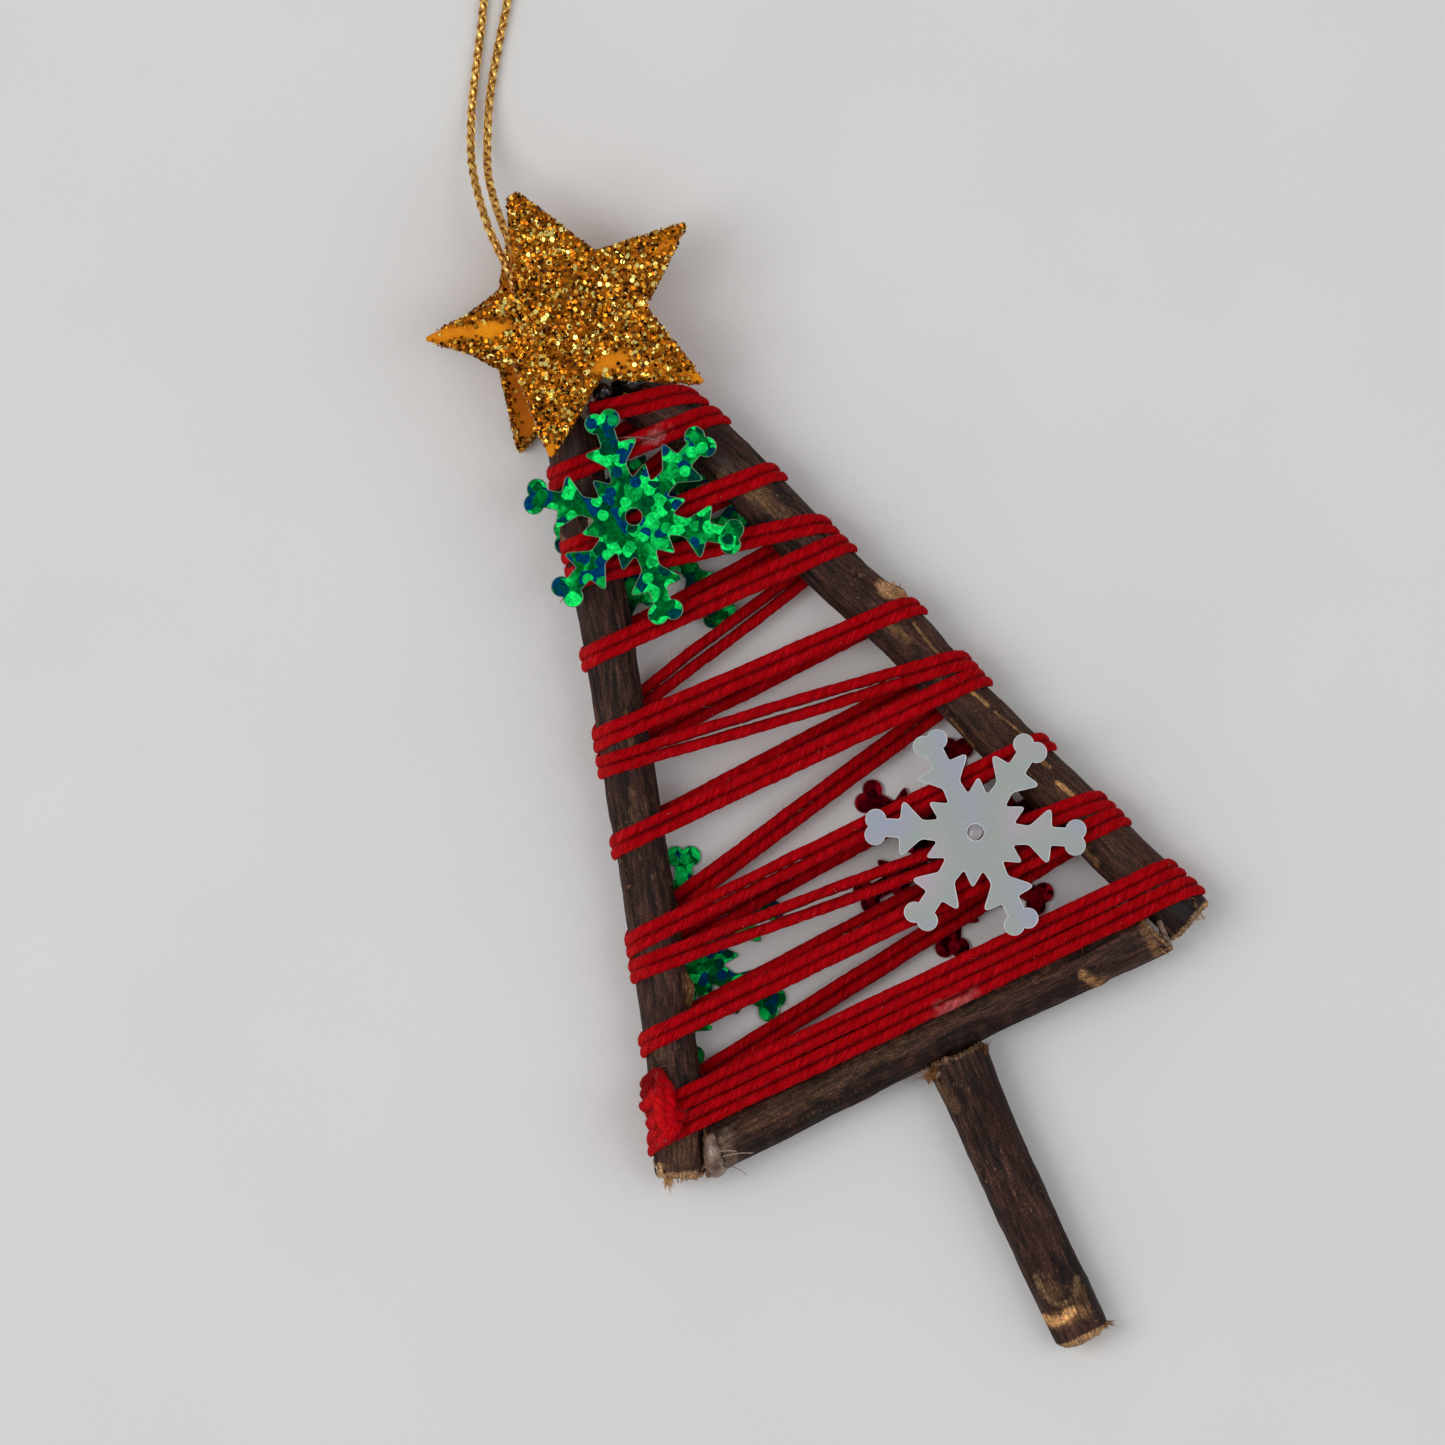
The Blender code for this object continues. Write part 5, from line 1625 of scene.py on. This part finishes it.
class ORNAMENT_OT_glue(bpy.types.Operator):
    """Put the hot glue where the pieces meet, with its drawn-out threads"""
    bl_idname = "ornament.glue"
    bl_label = "Hot glue"

    def execute(self, context):
        finish = glue_finish()
        left_z = twig_height(-27.5)
        right_z = twig_height(-27.0)
        lumps = [
            (-22.3, -27.3, left_z + 1.5, 1.9, 0.95, 1.0, 68.0),
            (-22.6, -28.6, left_z + 0.4, 1.1, 0.9, 1.2, 20.0),
            (-22.4, -26.2, left_z - 0.4, 0.7, 1.0, 1.2, 20.0),
            (23.6, -27.0, right_z + 0.3, 0.6, 1.5, 1.4, -12.0),
            (23.2, -28.6, right_z - 0.5, 0.6, 1.2, 1.2, -12.0),
            (1.4, -29.9, twig_height(-29.8) - 0.1, 2.0, 0.5, 1.5, 0.0),
            (-0.4, -30.2, twig_height(-30.0) + 1.2, 1.0, 0.5, 0.9, 8.0),
            (-1.6, 38.6, twig_height(38.6) + 0.8, 1.9, 2.4, 1.5, 10.0),
            (-2.6, 41.2, twig_height(40.0) + 3.0, 2.4, 2.2, 1.5, 30.0),
            (-2.4, 39.0, 2.9, 1.7, 2.0, 1.2, 20.0),
        ]
        glue = [blob(*lump, 300 + i) for i, lump in enumerate(lumps)]
        for (name, centre, turn, missing), side in (
                [(row, 1) for row in FRONT_SEQUINS] + [(row, -1) for row in BACK_SEQUINS]):
            low = sequin_height(centre, side > 0)
            for k, line in enumerate((LEFT_LINE, RIGHT_LINE)):
                row = np.argmin(((line[:, :2] - centre) ** 2).sum(axis=1))
                at = line[row]
                if np.linalg.norm(at[:2] - centre) > GLUE_REACH:
                    continue
                face = at[2] + side * (LEFT_LEG_D / 2 if k == 0 else RIGHT_LEG_D / 2)
                film = low if side > 0 else low + 0.2
                toward = at[:2] + (np.array(centre) - at[:2]) * 0.25
                glue.append(blob(*toward, (face + film) / 2, 1.5, 1.1,
                                 abs(film - face) / 2 + 0.12, 70.0, 340 + 7 * k + len(glue)))
        steps = np.linspace(0.0, 1.0, 14)
        ends = np.array([[(-21.9, -28.0, 6.2), (-19.1, -29.0, 6.7)],
                         [(-22.3, -27.4, 6.2), (-20.4, -28.2, 6.9)],
                         [(-21.6, -29.2, 4.9), (-20.6, -30.6, 3.0)],
                         [(23.7, -26.2, 5.6), (21.8, -25.2, 6.6)],
                         [(-0.9, 34.6, 9.3), (2.6, 32.6, 9.9)],
                         [(-12.0, 23.5, 7.6), (-9.6, 25.6, 9.9)]])
        sag = np.sin(steps * math.pi)[None, :, None] * np.array([0.12, 0.1, 0.3])
        paths = ends[:, :1] + (ends[:, 1:] - ends[:, :1]) * steps[None, :, None] + sag
        width = context.scene.ornament_glue.thread / MM / 2
        glue.append(bundle(paths, np.full(paths.shape[:2], width), 6))
        points, faces = join(glue)
        piece("hot_glue", points, faces, [finish], "sequin_pearl")
        soaked = Finish("glue_on_bark", Base_Color=(0.006, 0.004, 0.0035, 1.0), Roughness=0.14,
                        Specular_IOR_Level=0.6)
        spread = soaked.speckle(soaked.place(), 1500.0)
        soaked.bump(spread, 0.12, 0.6)
        points, faces = join([blob(0.2, 38.9, twig_height(39.0) + 0.5, 1.7, 1.7, 2.6, 20.0, 451),
                              blob(-1.0, 36.9, twig_height(37.0) - 0.2, 1.5, 1.6, 2.2, 0.0, 452),
                              blob(2.9, 38.4, twig_height(38.0) + 1.2, 1.2, 1.3, 1.7, 30.0, 453)])
        piece("glue_on_bark", points, faces, [soaked.material], "bark")
        centre = FRONT_SEQUINS[1][1]
        dot = blob(*centre, sequin_height(centre, True) + 0.05, 0.72, 0.72, 0.2, 0.0, 411)
        cold = Finish("glue_in_hole", Base_Color=rgba(paint(150, 144, 150)), Roughness=0.25)
        piece("pearl_sequin_glue_dot", *dot, [cold.material], "sequin_pearl")
        return {"FINISHED"}


# ---- stage ---------------------------------------------------------------------------------

TABLE_HALF = 0.7
TABLE_DROP = 0.2 * MM
SENSOR = 36.0
VIEW_CENTRE = (-3.84, 7.11)
TREE_TOP = 6 * MM
TO_THE_LEFT = np.array([-0.891, 0.454])


class StageSettings(bpy.types.PropertyGroup):
    paper: colour_setting("Table", "Colour of the table", (0.795, 0.80, 0.805))
    view: length_setting("View", "Width of the picture on the table", 131.36)
    distance: length_setting("Distance", "Height of the camera over the object", 2400.0)
    turn: FloatProperty(name="Turn", description="How far the tree leans in the picture",
                        default=math.radians(-27.0), subtype="ANGLE")
    sky: FloatProperty(name="Sky", description="Strength of the even light", default=0.39)
    key: FloatProperty(name="Key", description="Power of the light on the picture's left",
                       default=1.3, unit="POWER")
    fill: FloatProperty(name="Fill", description="Power of the light on the picture's right",
                        default=0.55, unit="POWER")
    high: FloatProperty(name="High lights", description="Power of the two lights near the top",
                        default=0.8, unit="POWER")


class ORNAMENT_OT_stage(bpy.types.Operator):
    """Lay the table, and place the camera and the lights"""
    bl_idname = "ornament.stage"
    bl_label = "Stage"

    def execute(self, context):
        values = context.scene.ornament_stage
        mesh = bpy.data.meshes.new("table")
        corners = ((-1, -1), (1, -1), (1, 1), (-1, 1))
        mesh.from_pydata([(x * TABLE_HALF, y * TABLE_HALF, -TABLE_DROP) for x, y in corners], [],
                         [(0, 1, 2, 3)])
        mesh.materials.append(paper_finish(values.paper))
        table = bpy.data.objects.new("table", mesh)
        context.scene.collection.objects.link(table)

        camera = bpy.data.cameras.new("camera")
        camera.sensor_width = SENSOR
        camera.lens = SENSOR * values.distance / values.view
        camera.clip_start = 0.01
        eye = bpy.data.objects.new("camera", camera)
        context.scene.collection.objects.link(eye)
        eye.location = (VIEW_CENTRE[0] * MM + SHIFT[0], VIEW_CENTRE[1] * MM + SHIFT[1],
                        values.distance + TREE_TOP)
        eye.rotation_euler = (0.0, 0.0, values.turn)
        context.scene.camera = eye

        context.scene.view_settings.view_transform = "Standard"
        world = bpy.data.worlds.new("studio")
        world.use_nodes = True
        sky = world.node_tree.nodes["Background"]
        sky.inputs["Color"].default_value = (1.0, 0.99, 0.985, 1.0)
        sky.inputs["Strength"].default_value = values.sky
        context.scene.world = world

        for name, away, height, width, power, colour in (
                ("key", 0.42, 0.62, 0.42, values.key, (1.0, 0.985, 0.96)),
                ("fill", -0.42, 0.6, 0.5, values.fill, (0.97, 0.985, 1.0)),
                ("high_left", 0.24, 0.8, 0.3, values.high, (1.0, 0.99, 0.975)),
                ("high_right", -0.24, 0.8, 0.3, values.high * 0.62, (1.0, 0.99, 0.985))):
            lamp = bpy.data.lights.new(name, "AREA")
            lamp.shape = "DISK"
            lamp.size = width
            lamp.energy = power
            lamp.color = colour
            thing = bpy.data.objects.new(name, lamp)
            context.scene.collection.objects.link(thing)
            x, y = TO_THE_LEFT * away
            thing.location = (x, y, height)
            thing.rotation_euler = (0.0, math.atan2(math.hypot(x, y), height),
                                    math.atan2(y, x))
        return {"FINISHED"}


# ---- panel and registration ----------------------------------------------------------------

GROUPS = (("ornament_stage", StageSettings, ORNAMENT_OT_stage),
          ("ornament_cord", CordSettings, ORNAMENT_OT_cord),
          ("ornament_twigs", TwigSettings, ORNAMENT_OT_twigs),
          ("ornament_yarn", YarnSettings, ORNAMENT_OT_yarn),
          ("ornament_stars", StarSettings, ORNAMENT_OT_stars),
          ("ornament_sequins", SequinSettings, ORNAMENT_OT_sequins),
          ("ornament_glue", GlueSettings, ORNAMENT_OT_glue))


class ORNAMENT_PT_panel(bpy.types.Panel):
    """The ornament's pieces and their settings"""
    bl_idname = "ORNAMENT_PT_panel"
    bl_label = "Twig tree ornament"
    bl_space_type = "VIEW_3D"
    bl_region_type = "UI"
    bl_category = "Ornament"

    def draw(self, context):
        for key, settings, operator in GROUPS:
            box = self.layout.box()
            box.operator(operator.bl_idname)
            for field in settings.__annotations__:
                box.prop(getattr(context.scene, key), field)


def register():
    for key, settings, operator in GROUPS:
        bpy.utils.register_class(settings)
        bpy.utils.register_class(operator)
        setattr(bpy.types.Scene, key, PointerProperty(type=settings))
    bpy.utils.register_class(ORNAMENT_PT_panel)


def unregister():
    bpy.utils.unregister_class(ORNAMENT_PT_panel)
    for key, settings, operator in reversed(GROUPS):
        delattr(bpy.types.Scene, key)
        bpy.utils.unregister_class(operator)
        bpy.utils.unregister_class(settings)


def main():
    register()
    bpy.ops.ornament.stage()
    bpy.ops.ornament.cord()
    bpy.ops.ornament.twigs()
    bpy.ops.ornament.yarn()
    bpy.ops.ornament.stars()
    bpy.ops.ornament.sequins()
    bpy.ops.ornament.glue()


if __name__ == "__main__":
    main()
